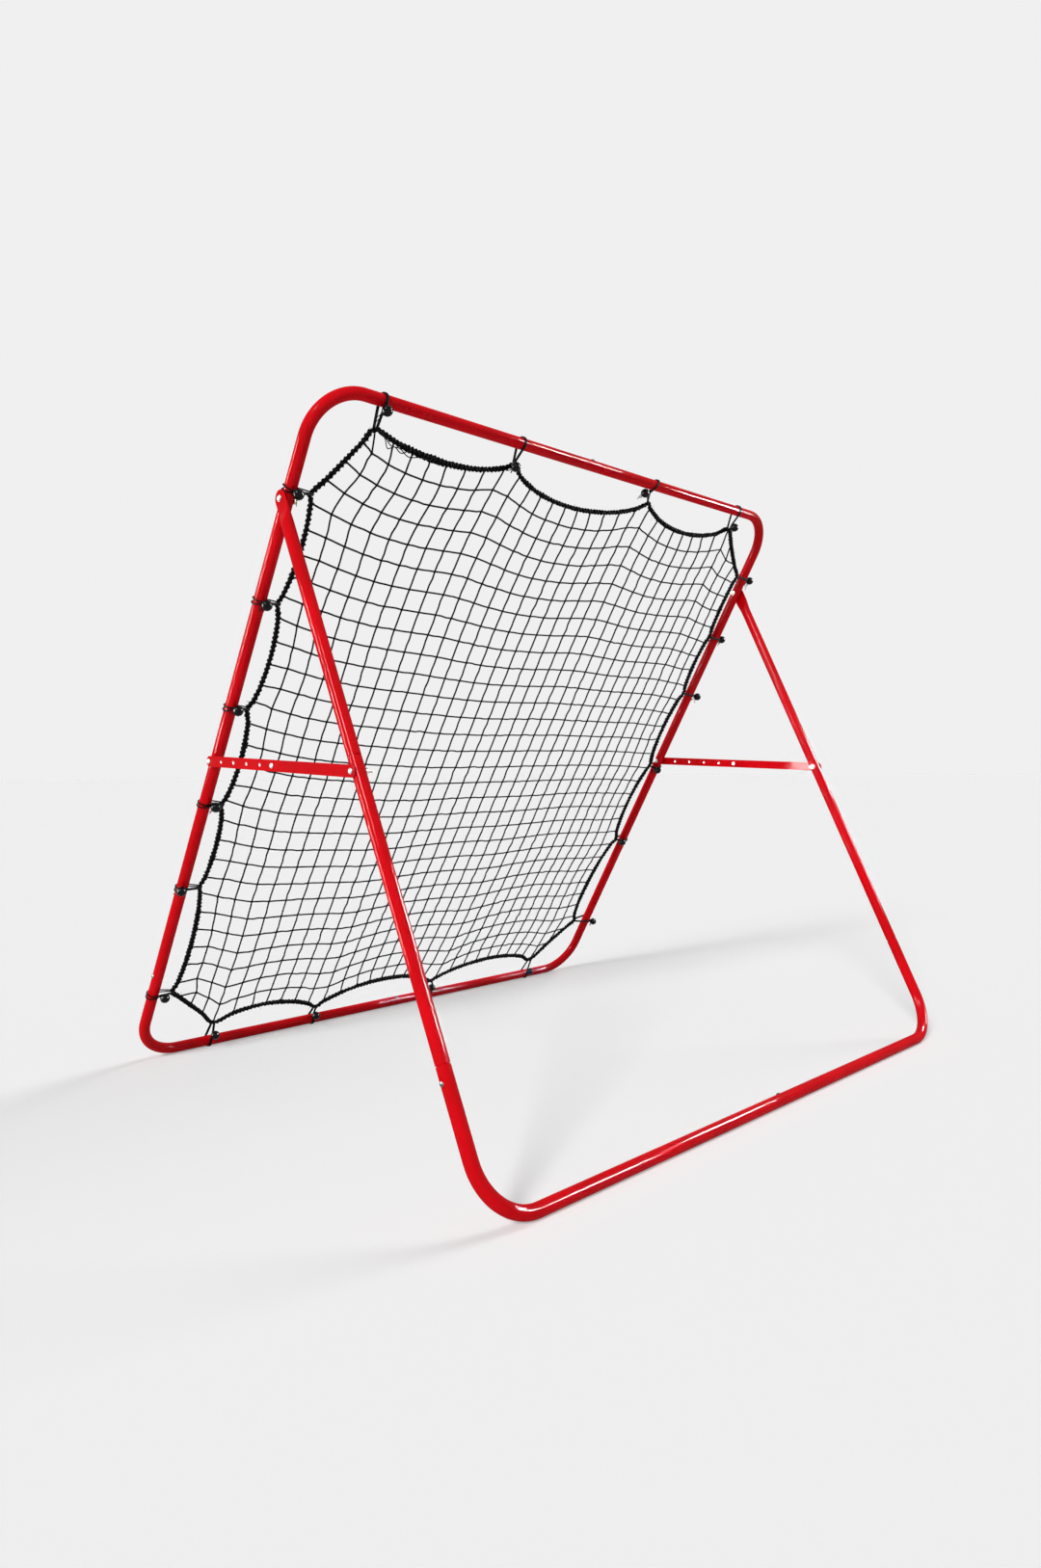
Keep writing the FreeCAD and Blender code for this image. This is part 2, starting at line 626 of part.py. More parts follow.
def net():
    """Square-meshed net inside the border rope, with a notch where each loop passes."""
    corners = rope_corners()
    path = Part.makePolygon(corners + corners[:1])
    edge = path.makeOffset2D(-NET_EDGE)
    inside = Part.Face(path.makeOffset2D(-(NET_EDGE + TWINE)))
    box = inside.BoundBox
    pitch_x = box.XLength / NET_GAPS
    pitch_y = box.YLength / NET_GAPS
    gaps = []
    for column in range(NET_GAPS):
        for row in range(NET_GAPS):
            corner = V(box.XMin + column * pitch_x + TWINE / 2, box.YMin + row * pitch_y + TWINE / 2, 0)
            gap = Part.makePlane(pitch_x - TWINE, pitch_y - TWINE, corner)
            for face in gap.common(inside).Faces:
                if face.Area > (4 * TWINE) ** 2:
                    gaps.append(face.OuterWire)
    sheet = holed_face(edge, gaps)
    sheet.translate(V(0, 0, -TWINE / 2))
    return sheet.extrude(V(0, 0, TWINE)).cut(Part.makeCompound(loop_notches()))


def loop_notches():
    """Boxes that keep the net clear of the loops."""
    half = LOOP_WIDTH / 2 + SOFT_GAP
    depth = (LOOP_FAR_R + ELASTIC_D) / math.cos(math.pi / 2 / FAR_STEPS) + SOFT_GAP
    notches = []
    for side, loops in LOOPS.items():
        for share, distance, *_ in loops:
            place = loop_place(side, share)
            near = on_side(side, place - half, distance, -ELASTIC_D)
            far = on_side(side, place + half, distance + depth, ELASTIC_D)
            low = V(min(near.x, far.x), min(near.y, far.y), near.z)
            notches.append(Part.makeBox(abs(far.x - near.x), abs(far.y - near.y), 2 * ELASTIC_D, low))
    return notches


def flat_on_ground(shape):
    """The shape cut off at ground level, where the object stands on it."""
    box = shape.BoundBox
    below = Part.makeBox(box.XLength + 2, box.YLength + 2, 50, V(box.XMin - 1, box.YMin - 1, -50))
    return shape.cut(below)


# The whole object

def build():
    """All pieces by name."""
    pieces = {}
    for side in SIDES:
        for name, shape in net_frame_tubes(side).items():
            pieces[f"{side}_{name}_tube"] = stood(shape, NET_PLANE)
        for name, shape in leg_frame_tubes(side).items():
            pieces[f"{side}_{name}_tube"] = stood(shape, LEG_PLANE)
    pieces["net_frame_joint_screws"] = net_frame_screws()
    pieces["leg_frame_joint_screws"] = leg_frame_screws()

    pivot_bolts, pivot_washers, pivot_nuts = pivot_fasteners()
    pieces["pivot_bolts"] = pivot_bolts
    pieces["pivot_washers"] = pivot_washers
    pieces["pivot_lock_nuts"] = pivot_nuts
    head_offset = STAY_OFFSET + STAY_THICK / 2 + STAY_GAP
    for name, centre, tail in (("upright_stay", NET_STAY_POINT, THREAD_TAIL),
                               ("leg_stay", LEG_STAY_POINT, LEG_THREAD_TAIL)):
        parts = cross_bolt(centre, centre.x + head_offset, centre.x - TUBE_R, tail)
        for kind, part in zip(("bolts", "washers", "nuts"), parts):
            pieces[f"{name}_{kind}"] = both_sides([part])

    nut_piece, bolt_end = middle_nut()
    stays = {"holed_bar": holed_bar(), "plain_bar": plain_bar(), "middle_bolt": middle_bolt(),
             "middle_nut": nut_piece, "middle_bolt_end": bolt_end}
    for name, shape in stays.items():
        pieces[f"right_{name}"] = shape
        pieces[f"left_{name}"] = shape.mirror(V(0, 0, 0), ACROSS)

    pieces["net"] = stood(net(), NET_PLANE)
    pieces["border_rope"] = stood(border_rope(), NET_PLANE)
    for side, loops in LOOPS.items():
        bands = Part.makeCompound([elastic_loop(side, loop[0], loop[1]) for loop in loops])
        bands = stood(bands, NET_PLANE)
        pieces[f"{side}_elastic_loops"] = flat_on_ground(bands) if side == "bottom" else bands
        balls = Part.makeCompound([ball(side, *loop) for loop in loops])
        pieces[f"{side}_balls"] = stood(balls, NET_PLANE)
    return pieces


os.makedirs("parts", exist_ok=True)
for piece_name, piece in build().items():
    piece.exportStep(f"parts/{piece_name}.step")
print(f"opening angle {OPEN_ANGLE:.3f}, closed {CLOSED_ANGLE:.3f}, lean {LEAN:.3f}")
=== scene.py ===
"""Looks of a pitch back rebounder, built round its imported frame.

A knotted twine net with a thick border rope hangs by twenty elastic ball loops in a leaning frame
of red tube. A U-shaped leg frame of the same tube folds under it, and on each side a holed and a
plain flat bar set the angle. Lengths are in metres. Both frames are drawn flat, X across and Y up
their own plane, and are then stood up; flat Z points to the leg frame's side, called the front.
"""

from __future__ import annotations

import json
import logging
import math
import random
from contextlib import contextmanager
from dataclasses import dataclass, field
from enum import Enum
from typing import Any, Callable, Iterator, Sequence

import bpy
import numpy as np
from mathutils import Matrix, Vector

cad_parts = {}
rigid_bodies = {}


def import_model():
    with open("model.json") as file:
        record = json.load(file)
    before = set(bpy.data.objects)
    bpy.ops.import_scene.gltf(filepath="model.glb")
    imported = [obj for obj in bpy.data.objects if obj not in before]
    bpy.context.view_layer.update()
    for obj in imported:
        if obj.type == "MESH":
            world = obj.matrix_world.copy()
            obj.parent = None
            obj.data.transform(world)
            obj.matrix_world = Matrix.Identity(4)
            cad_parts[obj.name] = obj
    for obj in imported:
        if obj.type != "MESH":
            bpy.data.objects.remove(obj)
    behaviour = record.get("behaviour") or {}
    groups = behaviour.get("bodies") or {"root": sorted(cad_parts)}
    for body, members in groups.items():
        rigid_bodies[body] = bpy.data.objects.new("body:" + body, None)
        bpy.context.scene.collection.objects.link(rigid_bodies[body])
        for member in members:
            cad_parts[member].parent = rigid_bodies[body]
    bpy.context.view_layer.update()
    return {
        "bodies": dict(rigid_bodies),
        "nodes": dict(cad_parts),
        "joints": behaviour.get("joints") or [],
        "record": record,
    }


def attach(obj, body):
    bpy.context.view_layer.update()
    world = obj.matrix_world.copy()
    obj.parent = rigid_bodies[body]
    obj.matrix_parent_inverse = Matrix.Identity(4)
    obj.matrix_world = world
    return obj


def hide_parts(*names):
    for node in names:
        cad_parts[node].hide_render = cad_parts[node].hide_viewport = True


LOG = logging.getLogger("rebounder")
MM = 0.001
TINY = 1e-6
ACROSS = Vector((1, 0, 0))
UP = Vector((0, 1, 0))


class Side(Enum):
    """The four sides of the net frame, as seen from the front, which is the leg frame's side."""

    LEFT = "left"
    RIGHT = "right"
    TOP = "top"
    BOTTOM = "bottom"


SIGNS = {Side.LEFT: -1.0, Side.RIGHT: 1.0}


class Bar(Enum):
    """The two bars of a stay."""

    HOLED = "holed"
    PLAIN = "plain"


class Crossing(Enum):
    """The bolts that go across a tube."""

    PIVOT = "pivot"
    UPRIGHT_STAY = "upright_stay"
    LEG_STAY = "leg_stay"


# Shaders


class Socket:
    """An output socket that adds Math nodes when it is used in a sum or product."""

    def __init__(self, shader: Shader, output: bpy.types.NodeSocket) -> None:
        """Wraps a socket.

        Args:
            shader: the material the socket belongs to.
            output: the node's output socket.
        """
        self.shader = shader
        self.output = output

    def _math(self, operation: str, *values: Any) -> Socket:
        """A Math node on the values, in their order."""
        inputs = dict(enumerate(values))
        return self.shader.node("ShaderNodeMath", {"operation": operation}, inputs).socket("Value")

    def __add__(self, other: Any) -> Socket:
        """This plus the other."""
        return self._math("ADD", self, other)

    __radd__ = __add__

    def __mul__(self, other: Any) -> Socket:
        """This times the other."""
        return self._math("MULTIPLY", self, other)

    __rmul__ = __mul__

    def over(self, low: float, high: float) -> Socket:
        """A mask that rises from 0 to 1 as this rises from low to high.

        Args:
            low: where the mask is 0.
            high: where it is 1.

        Returns:
            The mask.
        """
        settings = {"interpolation_type": "SMOOTHSTEP"}
        inputs = {"Value": self, "From Min": low, "From Max": high}
        return self.shader.node("ShaderNodeMapRange", settings, inputs).socket("Result")


class PlacedNode:
    """A shader node that hands out its outputs as sockets."""

    def __init__(self, shader: Shader, node: bpy.types.Node) -> None:
        """Wraps a node of the shader."""
        self.shader = shader
        self.node = node

    def socket(self, name: str | int) -> Socket:
        """The output of this name or number."""
        return Socket(self.shader, self.node.outputs[name])


class Shader:
    """One material's node tree, ending in a Principled surface."""

    def __init__(self, name: str) -> None:
        """Starts an empty material.

        Args:
            name: the material's name.
        """
        self.material = bpy.data.materials.new(name)
        self.material.use_nodes = True
        self.tree = self.material.node_tree
        self.tree.nodes.clear()

    @classmethod
    def of(cls, tree: bpy.types.NodeTree) -> Shader:
        """An emptied node tree that isn't a material's, such as the surroundings'.

        Args:
            tree: the node tree.

        Returns:
            The shader that fills it.
        """
        shader = cls.__new__(cls)
        shader.tree = tree
        tree.nodes.clear()
        return shader

    def node(self, kind: str, settings: dict | None = None, inputs: dict | None = None) -> PlacedNode:
        """Adds a node.

        Args:
            kind: the node's type.
            settings: properties that are set before the sockets, such as a Math node's operation.
            inputs: socket name or number to a value or a Socket.

        Returns:
            The node.
        """
        added = self.tree.nodes.new(kind)
        for key, value in (settings or {}).items():
            setattr(added, key, value)
        for key, value in (inputs or {}).items():
            if isinstance(value, Socket):
                self.tree.links.new(value.output, added.inputs[key])
            else:
                added.inputs[key].default_value = value
        return PlacedNode(self, added)

    def noise(self, scale: float, detail: float = 2.0, roughness: float = 0.5) -> Socket:
        """Smooth noise from 0 to 1 in the object's own coordinates.

        Args:
            scale: features per metre.
            detail: how many finer layers it has.
            roughness: how strong they are.

        Returns:
            The noise.
        """
        place = self.node("ShaderNodeTexCoord").socket("Object")
        inputs = {"Vector": place, "Scale": scale, "Detail": detail, "Roughness": roughness}
        return self.node("ShaderNodeTexNoise", None, inputs).socket(0)

    def mix(self, mask: Socket, low: Sequence[float], high: Sequence[float]) -> Socket:
        """A colour that goes from low to high with the mask.

        Args:
            mask: from 0 to 1.
            low: the colour at 0.
            high: the colour at 1.

        Returns:
            The colour.
        """
        settings = {"data_type": "RGBA"}
        inputs = {0: mask, 6: (*low, 1.0), 7: (*high, 1.0)}
        return self.node("ShaderNodeMix", settings, inputs).socket(2)

    def bump(self, height: Socket, depth: float, strength: float) -> Socket:
        """A normal bent by a height map, with its depth in metres."""
        inputs = {"Height": height, "Distance": depth, "Strength": strength}
        return self.node("ShaderNodeBump", None, inputs).socket("Normal")

    def surface(self, **inputs: Any) -> bpy.types.Material:
        """Ends the tree in a Principled surface.

        Args:
            **inputs: its sockets, with underscores for the spaces in their names.

        Returns:
            The finished material.
        """
        named = {key.replace("_", " "): value for key, value in inputs.items()}
        for key, value in named.items():
            if isinstance(value, tuple) and len(value) == 3:
                named[key] = (*value, 1.0)
        principled = self.node("ShaderNodeBsdfPrincipled", None, named)
        self.node("ShaderNodeOutputMaterial", None, {"Surface": principled.socket("BSDF")})
        return self.material


# Finishes


@dataclass(frozen=True)
class PowderCoat:
    """Gloss red powder coat on steel tube and bar."""

    bright: tuple[float, float, float] = (0.80, 0.001, 0.007)
    deep: tuple[float, float, float] = (0.66, 0.001, 0.005)
    clouds_per_metre: float = 9.0
    clouded: tuple[float, float] = (0.3, 0.7)
    marks_per_metre: float = 160.0
    marked: tuple[float, float] = (0.56, 0.74)
    peel_per_metre: float = 620.0
    peel_depth: float = 0.00003
    peel_relief: float = 0.1
    roughness: float = 0.30
    mark_roughness: float = 0.10
    coat: float = 0.13
    coat_roughness: float = 0.04

    def material(self) -> bpy.types.Material:
        """Deep gloss with orange peel, faint handling marks and slow changes of shade.

        Returns:
            The finished material.
        """
        shader = Shader("gloss_red_powder_coat")
        cloud = shader.noise(self.clouds_per_metre, 3.0)
        marks = shader.noise(self.marks_per_metre, 5.0, 0.65).over(*self.marked)
        peel = shader.noise(self.peel_per_metre)
        return shader.surface(
            Base_Color=shader.mix(cloud.over(*self.clouded), self.deep, self.bright),
            Roughness=self.roughness + marks * self.mark_roughness,
            Specular_IOR_Level=0.0,
            Coat_Weight=self.coat,
            Coat_Roughness=self.coat_roughness,
            Normal=shader.bump(peel, self.peel_depth, self.peel_relief),
        )


@dataclass(frozen=True)
class ZincPlate:
    """Bright or yellow zinc plate on bolts, nuts, washers and screws."""

    name: str
    bright: tuple[float, float, float] = (0.62, 0.62, 0.60)
    dull: tuple[float, float, float] = (0.30, 0.30, 0.29)
    mottle_per_metre: float = 700.0
    mottled: tuple[float, float] = (0.35, 0.75)
    mottle_depth: float = 0.00002
    mottle_relief: float = 0.4
    roughness: float = 0.24
    mottle_roughness: float = 0.16

    def material(self) -> bpy.types.Material:
        """Mottled bright metal.

        Returns:
            The finished material.
        """
        shader = Shader(self.name)
        mottle = shader.noise(self.mottle_per_metre, 4.0, 0.6)
        return shader.surface(
            Base_Color=shader.mix(mottle.over(*self.mottled), self.bright, self.dull),
            Metallic=1.0,
            Roughness=self.roughness + mottle * self.mottle_roughness,
            Normal=shader.bump(mottle, self.mottle_depth, self.mottle_relief),
        )


@dataclass(frozen=True)
class BlackFibre:
    """Black polyethylene twine, rope or elastic cover."""

    name: str
    light: tuple[float, float, float] = (0.006, 0.006, 0.0065)
    dark: tuple[float, float, float] = (0.001, 0.001, 0.001)
    strands_per_metre: float = 900.0
    shaded: tuple[float, float] = (0.3, 0.7)
    depth: float = 0.0003
    relief: float = 0.7
    roughness: float = 0.62
    strand_roughness: float = 0.2
    shine: float = 0.04

    def material(self) -> bpy.types.Material:
        """Matt strands that differ a little in shade.

        Returns:
            The finished material.
        """
        shader = Shader(self.name)
        strands = shader.noise(self.strands_per_metre, 3.0, 0.6)
        return shader.surface(
            Base_Color=shader.mix(strands.over(*self.shaded), self.dark, self.light),
            Roughness=self.roughness + strands * self.strand_roughness,
            Specular_IOR_Level=self.shine,
            Normal=shader.bump(strands, self.depth, self.relief),
        )


@dataclass(frozen=True)
class BlackBall:
    """Gloss black moulded plastic."""

    colour: tuple[float, float, float] = (0.003, 0.003, 0.003)
    scuffed: tuple[float, float, float] = (0.010, 0.010, 0.010)
    scuffs_per_metre: float = 420.0
    worn: tuple[float, float] = (0.55, 0.78)
    scuff_depth: float = 0.00002
    scuff_relief: float = 0.4
    roughness: float = 0.16
    scuff_roughness: float = 0.25
    shine: float = 0.06
    coat: float = 0.16
    coat_roughness: float = 0.05

    def material(self) -> bpy.types.Material:
        """Shiny plastic with fine scuffs.

        Returns:
            The finished material.
        """
        shader = Shader("gloss_black_plastic")
        scuffs = shader.noise(self.scuffs_per_metre, 5.0, 0.7).over(*self.worn)
        return shader.surface(
            Base_Color=shader.mix(scuffs, self.colour, self.scuffed),
            Roughness=self.roughness + scuffs * self.scuff_roughness,
            Specular_IOR_Level=self.shine,
            Coat_Weight=self.coat,
            Coat_Roughness=self.coat_roughness,
            Normal=shader.bump(scuffs, self.scuff_depth, self.scuff_relief),
        )


@dataclass(frozen=True)
class Finishes:
    """All the materials, made once."""

    red: bpy.types.Material
    zinc: bpy.types.Material
    dull: bpy.types.Material
    brass: bpy.types.Material
    twine: bpy.types.Material
    rope: bpy.types.Material
    elastic: bpy.types.Material
    ball: bpy.types.Material

    @classmethod
    def mix_all(cls) -> Finishes:
        """Makes every finish.

        Returns:
            The finishes.
        """
        return cls(
            red=PowderCoat().material(),
            zinc=ZincPlate("bright_zinc_plate").material(),
            dull=ZincPlate("dull_zinc_plate", (0.20, 0.19, 0.18), (0.07, 0.07, 0.07)).material(),
            brass=ZincPlate("yellow_zinc_plate", (0.46, 0.41, 0.24), (0.24, 0.20, 0.11)).material(),
            twine=BlackFibre("black_twine").material(),
            rope=BlackFibre("black_border_rope", strands_per_metre=700.0, depth=0.0006).material(),
            elastic=BlackFibre("black_elastic_cover", strands_per_metre=1500.0, roughness=0.5).material(),
            ball=BlackBall().material(),
        )


# Modelling


class Bench:
    """Hand modelling with Blender's own operators."""

    def start(self, name: str, add: Callable[..., set], **size: Any) -> bpy.types.Object:
        """Adds a primitive with nothing else selected.

        Args:
            name: the new object's name.
            add: one of the primitive operators.
            **size: the operator's settings.

        Returns:
            The new object, active and selected.
        """
        bpy.ops.object.select_all(action="DESELECT")
        add(**size)
        added = bpy.context.object
        added.name = name
        return added

    def only(self, target: bpy.types.Object) -> None:
        """Makes one object the active and only selected one.

        Args:
            target: the object.
        """
        bpy.ops.object.select_all(action="DESELECT")
        bpy.context.view_layer.objects.active = target
        target.select_set(True)

    def settle(self) -> None:
        """Moves the selected object's place, turn and scale into its mesh."""
        bpy.ops.object.transform_apply(location=True, rotation=True, scale=True)

    @contextmanager
    def editing(self, target: bpy.types.Object) -> Iterator[None]:
        """Edit mode on one object, with its whole mesh selected.

        Args:
            target: the object.

        Yields:
            Nothing, while the object is in edit mode.
        """
        self.only(target)
        bpy.ops.object.mode_set(mode="EDIT")
        bpy.ops.mesh.select_all(action="SELECT")
        yield
        bpy.ops.object.mode_set(mode="OBJECT")

    def pick(self, target: bpy.types.Object, wanted: Callable[[Vector], bool]) -> None:
        """Selects the vertices that the test wants, from edit mode.

        Args:
            target: the object.
            wanted: the test, which gets a vertex's place.
        """
        bpy.ops.mesh.select_all(action="DESELECT")
        bpy.ops.mesh.select_mode(type="VERT")
        bpy.ops.object.mode_set(mode="OBJECT")
        for vertex in target.data.vertices:
            vertex.select = wanted(vertex.co)
        bpy.ops.object.mode_set(mode="EDIT")

    def extrude(self, move: Vector) -> None:
        """Extrudes the selected loop along a vector."""
        bpy.ops.mesh.extrude_edges_move(TRANSFORM_OT_translate={"value": tuple(move)})

    def modify(self, target: bpy.types.Object, kind: str, **settings: Any) -> None:
        """Adds a modifier and applies it at once.

        Args:
            target: the object.
            kind: the modifier's type.
            **settings: its properties.
        """
        modifier = target.modifiers.new(kind.lower(), kind)
        for key, value in settings.items():
            setattr(modifier, key, value)
        self.only(target)
        bpy.ops.object.modifier_apply(modifier=modifier.name)

    def carve(self, target: bpy.types.Object, tool: bpy.types.Object, operation: str = "DIFFERENCE") -> None:
        """Cuts, joins or keeps the shared part of two solids, and takes the tool away."""
        self.modify(target, "BOOLEAN", operation=operation, object=tool, solver="EXACT")
        bpy.data.objects.remove(tool)

    def turned(self, name: str, profile: Sequence[tuple[float, float]], steps: int = 32) -> bpy.types.Object:
        """A solid of revolution about Z.

        Args:
            name: the new object's name.
            profile: radius and height of each corner, from one end of the axis to the other.
            steps: faces round the axis.

        Returns:
            The turned object.
        """
        target = self.start(name, bpy.ops.mesh.primitive_plane_add, size=MM)
        with self.editing(target):
            bpy.ops.mesh.merge(type="CENTER")
            here = Vector((0, 0, 0))
            corners = [Vector((radius, 0, height)) for radius, height in profile]
            bpy.ops.transform.translate(value=tuple(corners[0] - here))
            for before, after in zip(corners, corners[1:]):
                bpy.ops.mesh.extrude_vertices_move(TRANSFORM_OT_translate={"value": tuple(after - before)})
            bpy.ops.mesh.select_all(action="SELECT")
            bpy.ops.mesh.spin(steps=steps, angle=2 * math.pi, center=(0, 0, 0), axis=(0, 0, 1))
            self.weld()
        return target

    def weld(self) -> None:
        """Joins doubled vertices and turns every face outwards, from edit mode."""
        bpy.ops.mesh.select_all(action="SELECT")
        bpy.ops.mesh.remove_doubles(threshold=TINY)
        bpy.ops.mesh.normals_make_consistent(inside=False)

    def smooth(self, target: bpy.types.Object, angle: float = 35.0) -> None:
        """Smooth shading, with edges sharper than the angle kept."""
        self.only(target)
        bpy.ops.object.shade_smooth_by_angle(angle=math.radians(angle))

    def placed(self, target: bpy.types.Object, place: Matrix) -> None:
        """Puts the object in its place and moves that place into its mesh.

        Args:
            target: the object.
            place: where it goes.
        """
        target.matrix_world = place
        self.only(target)
        self.settle()

    def copy(self, source: bpy.types.Object, name: str) -> bpy.types.Object:
        """A copy with its own mesh.

        Args:
            source: what is copied.
            name: the copy's name.

        Returns:
            The copy.
        """
        twin = source.copy()
        twin.data = source.data.copy()
        twin.name = name
        bpy.context.scene.collection.objects.link(twin)
        return twin

    def joined(self, name: str, parts: Sequence[bpy.types.Object]) -> bpy.types.Object:
        """One object from several.

        Args:
            name: its name.
            parts: the objects, of which the first stays.

        Returns:
            The joined object.
        """
        bpy.ops.object.select_all(action="DESELECT")
        for part in parts:
            part.select_set(True)
        bpy.context.view_layer.objects.active = parts[0]
        if len(parts) > 1:
            bpy.ops.object.join()
        parts[0].name = name
        return parts[0]

    def cords(self, name: str, paths: Sequence[np.ndarray], radius: float, sides: int = 6,
              closed: bool = False, girths: Sequence[np.ndarray] | None = None) -> bpy.types.Object:
        """Round cords along paths of points, as one mesh.

        Args:
            name: the new object's name.
            paths: an array of points for each cord.
            radius: the cord's radius.
            sides: faces round the cord, an even number.
            closed: whether each cord is a ring.
            girths: how many times the radius each point has, for each cord.

        Returns:
            The mesh object.
        """
        curve = bpy.data.curves.new(name, "CURVE")
        curve.dimensions = "3D"
        curve.bevel_depth = radius
        curve.bevel_resolution = sides // 2 - 2
        curve.use_fill_caps = not closed
        for path in paths:
            spline = curve.splines.new("POLY")
            spline.points.add(len(path) - 1)
            flat = np.ones((len(path), 4))
            flat[:, :3] = path
            spline.points.foreach_set("co", flat.ravel())
            spline.use_cyclic_u = closed
            if girths is not None:
                spline.points.foreach_set("radius", girths[len(curve.splines) - 1])
        maker = bpy.data.objects.new(name, curve)
        bpy.context.scene.collection.objects.link(maker)
        self.only(maker)
        bpy.ops.object.convert(target="MESH")
        return bpy.context.object

    def finished(self, target: bpy.types.Object, material: bpy.types.Material, body: str, slot: str,
                 *nodes: str) -> None:
        """Dresses a piece, hangs it on its body and lets it stand for its nodes.

        Args:
            target: the piece.
            material: its finish.
            body: the body it rides on.
            slot: the frame's name for its material, which is not used.
            *nodes: the CAD nodes it stands for.
        """
        target.data.materials.clear()
        target.data.materials.append(material)
        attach(target, body)
        if nodes:
            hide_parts(*nodes)
        LOG.info("%s: %d faces on %s", target.name, len(target.data.polygons), body)


# Where things are


@dataclass(frozen=True)
class Sizes:
    """Real sizes of the stock and the frames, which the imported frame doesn't give."""

    tube_r: float = 0.0125
    tube_wall: float = 0.0015
    bend_r: float = 0.100
    half_width: float = 0.750
    frame_length: float = 1.590
    pivot_height: float = 1.369
    leg_length: float = 1.315
    leg_splay: float = 0.008
    tongue_gap: float = 0.0003
    tongue_half: float = 0.017
    tongue_flat: float = 0.024
    low_joint: float = 0.267
    top_joint: float = 0.011
    bottom_joint: float = -0.005
    low_leg_drop: float = 1.068
    base_joint: float = 0.010
    past_joint: float = 0.026
    stay_arm: float = 0.563
    stay_half: float = 0.011

    @property
    def tongue_middle(self) -> float:
        """How far out the middle of the flattened leg end is."""
        return self.half_width + self.tube_r + self.tongue_gap + self.tube_wall

    def leg_x(self, drop: float) -> float:
        """How far out a leg's centreline is, this far below the pivot."""
        return self.tongue_middle + self.leg_splay * drop / self.leg_length


@dataclass(frozen=True)
class FlatFrame:
    """Where a flat-drawn frame stands: its foot line and the way its plane rises."""

    foot: Vector
    rise: Vector

    @classmethod
    def through(cls, pivot: Vector, lower: Vector, length: float) -> FlatFrame:
        """The frame that hangs from the pivot, past a lower point, to its foot.

        Args:
            pivot: the pivot's centre.
            lower: a point further down the frame's plane.
            length: from the pivot down to the foot's centreline.

        Returns:
            The frame's plane.
        """
        down = Vector((0, lower.y - pivot.y, lower.z - pivot.z)).normalized()
        return cls(Vector((0, pivot.y, pivot.z)) + down * length, -down)

    @property
    def matrix(self) -> Matrix:
        """From flat coordinates to the frame that all pieces share."""
        axes = Matrix((ACROSS, self.rise, ACROSS.cross(self.rise))).transposed().to_4x4()
        return Matrix.Translation(self.foot) @ axes


@dataclass(frozen=True)
class Layout:
    """The hinge points read from the frame, and the two flat frames that follow from them."""

    sizes: Sizes
    pivot: Vector
    net_stay: Vector
    leg_stay: Vector

    @classmethod
    def read(cls, frame: dict, sizes: Sizes) -> Layout:
        """Takes the right-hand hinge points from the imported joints.

        Args:
            frame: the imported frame.
            sizes: the real sizes.

        Returns:
            The layout.
        """
        places = {joint["name"]: Vector(joint["pos_m"]) for joint in frame["joints"]}
        pivot = places["leg_fold"]
        return cls(sizes, pivot, places["right_holed_stay_hinge"], places["right_plain_stay_hinge"])

    @property
    def net_plane(self) -> FlatFrame:
        """The net frame's plane."""
        return FlatFrame.through(self.pivot, self.net_stay, self.sizes.pivot_height)

    @property
    def leg_plane(self) -> FlatFrame:
        """The leg frame's plane."""
        return FlatFrame.through(self.pivot, self.leg_stay, self.sizes.leg_length)


def facing(seat: Vector, outwards: Vector) -> Matrix:
    """A place at the seat, with Z pointing outwards."""
    return Matrix.Translation(seat) @ outwards.to_track_quat("Z", "Y").to_matrix().to_4x4()


# Tubes


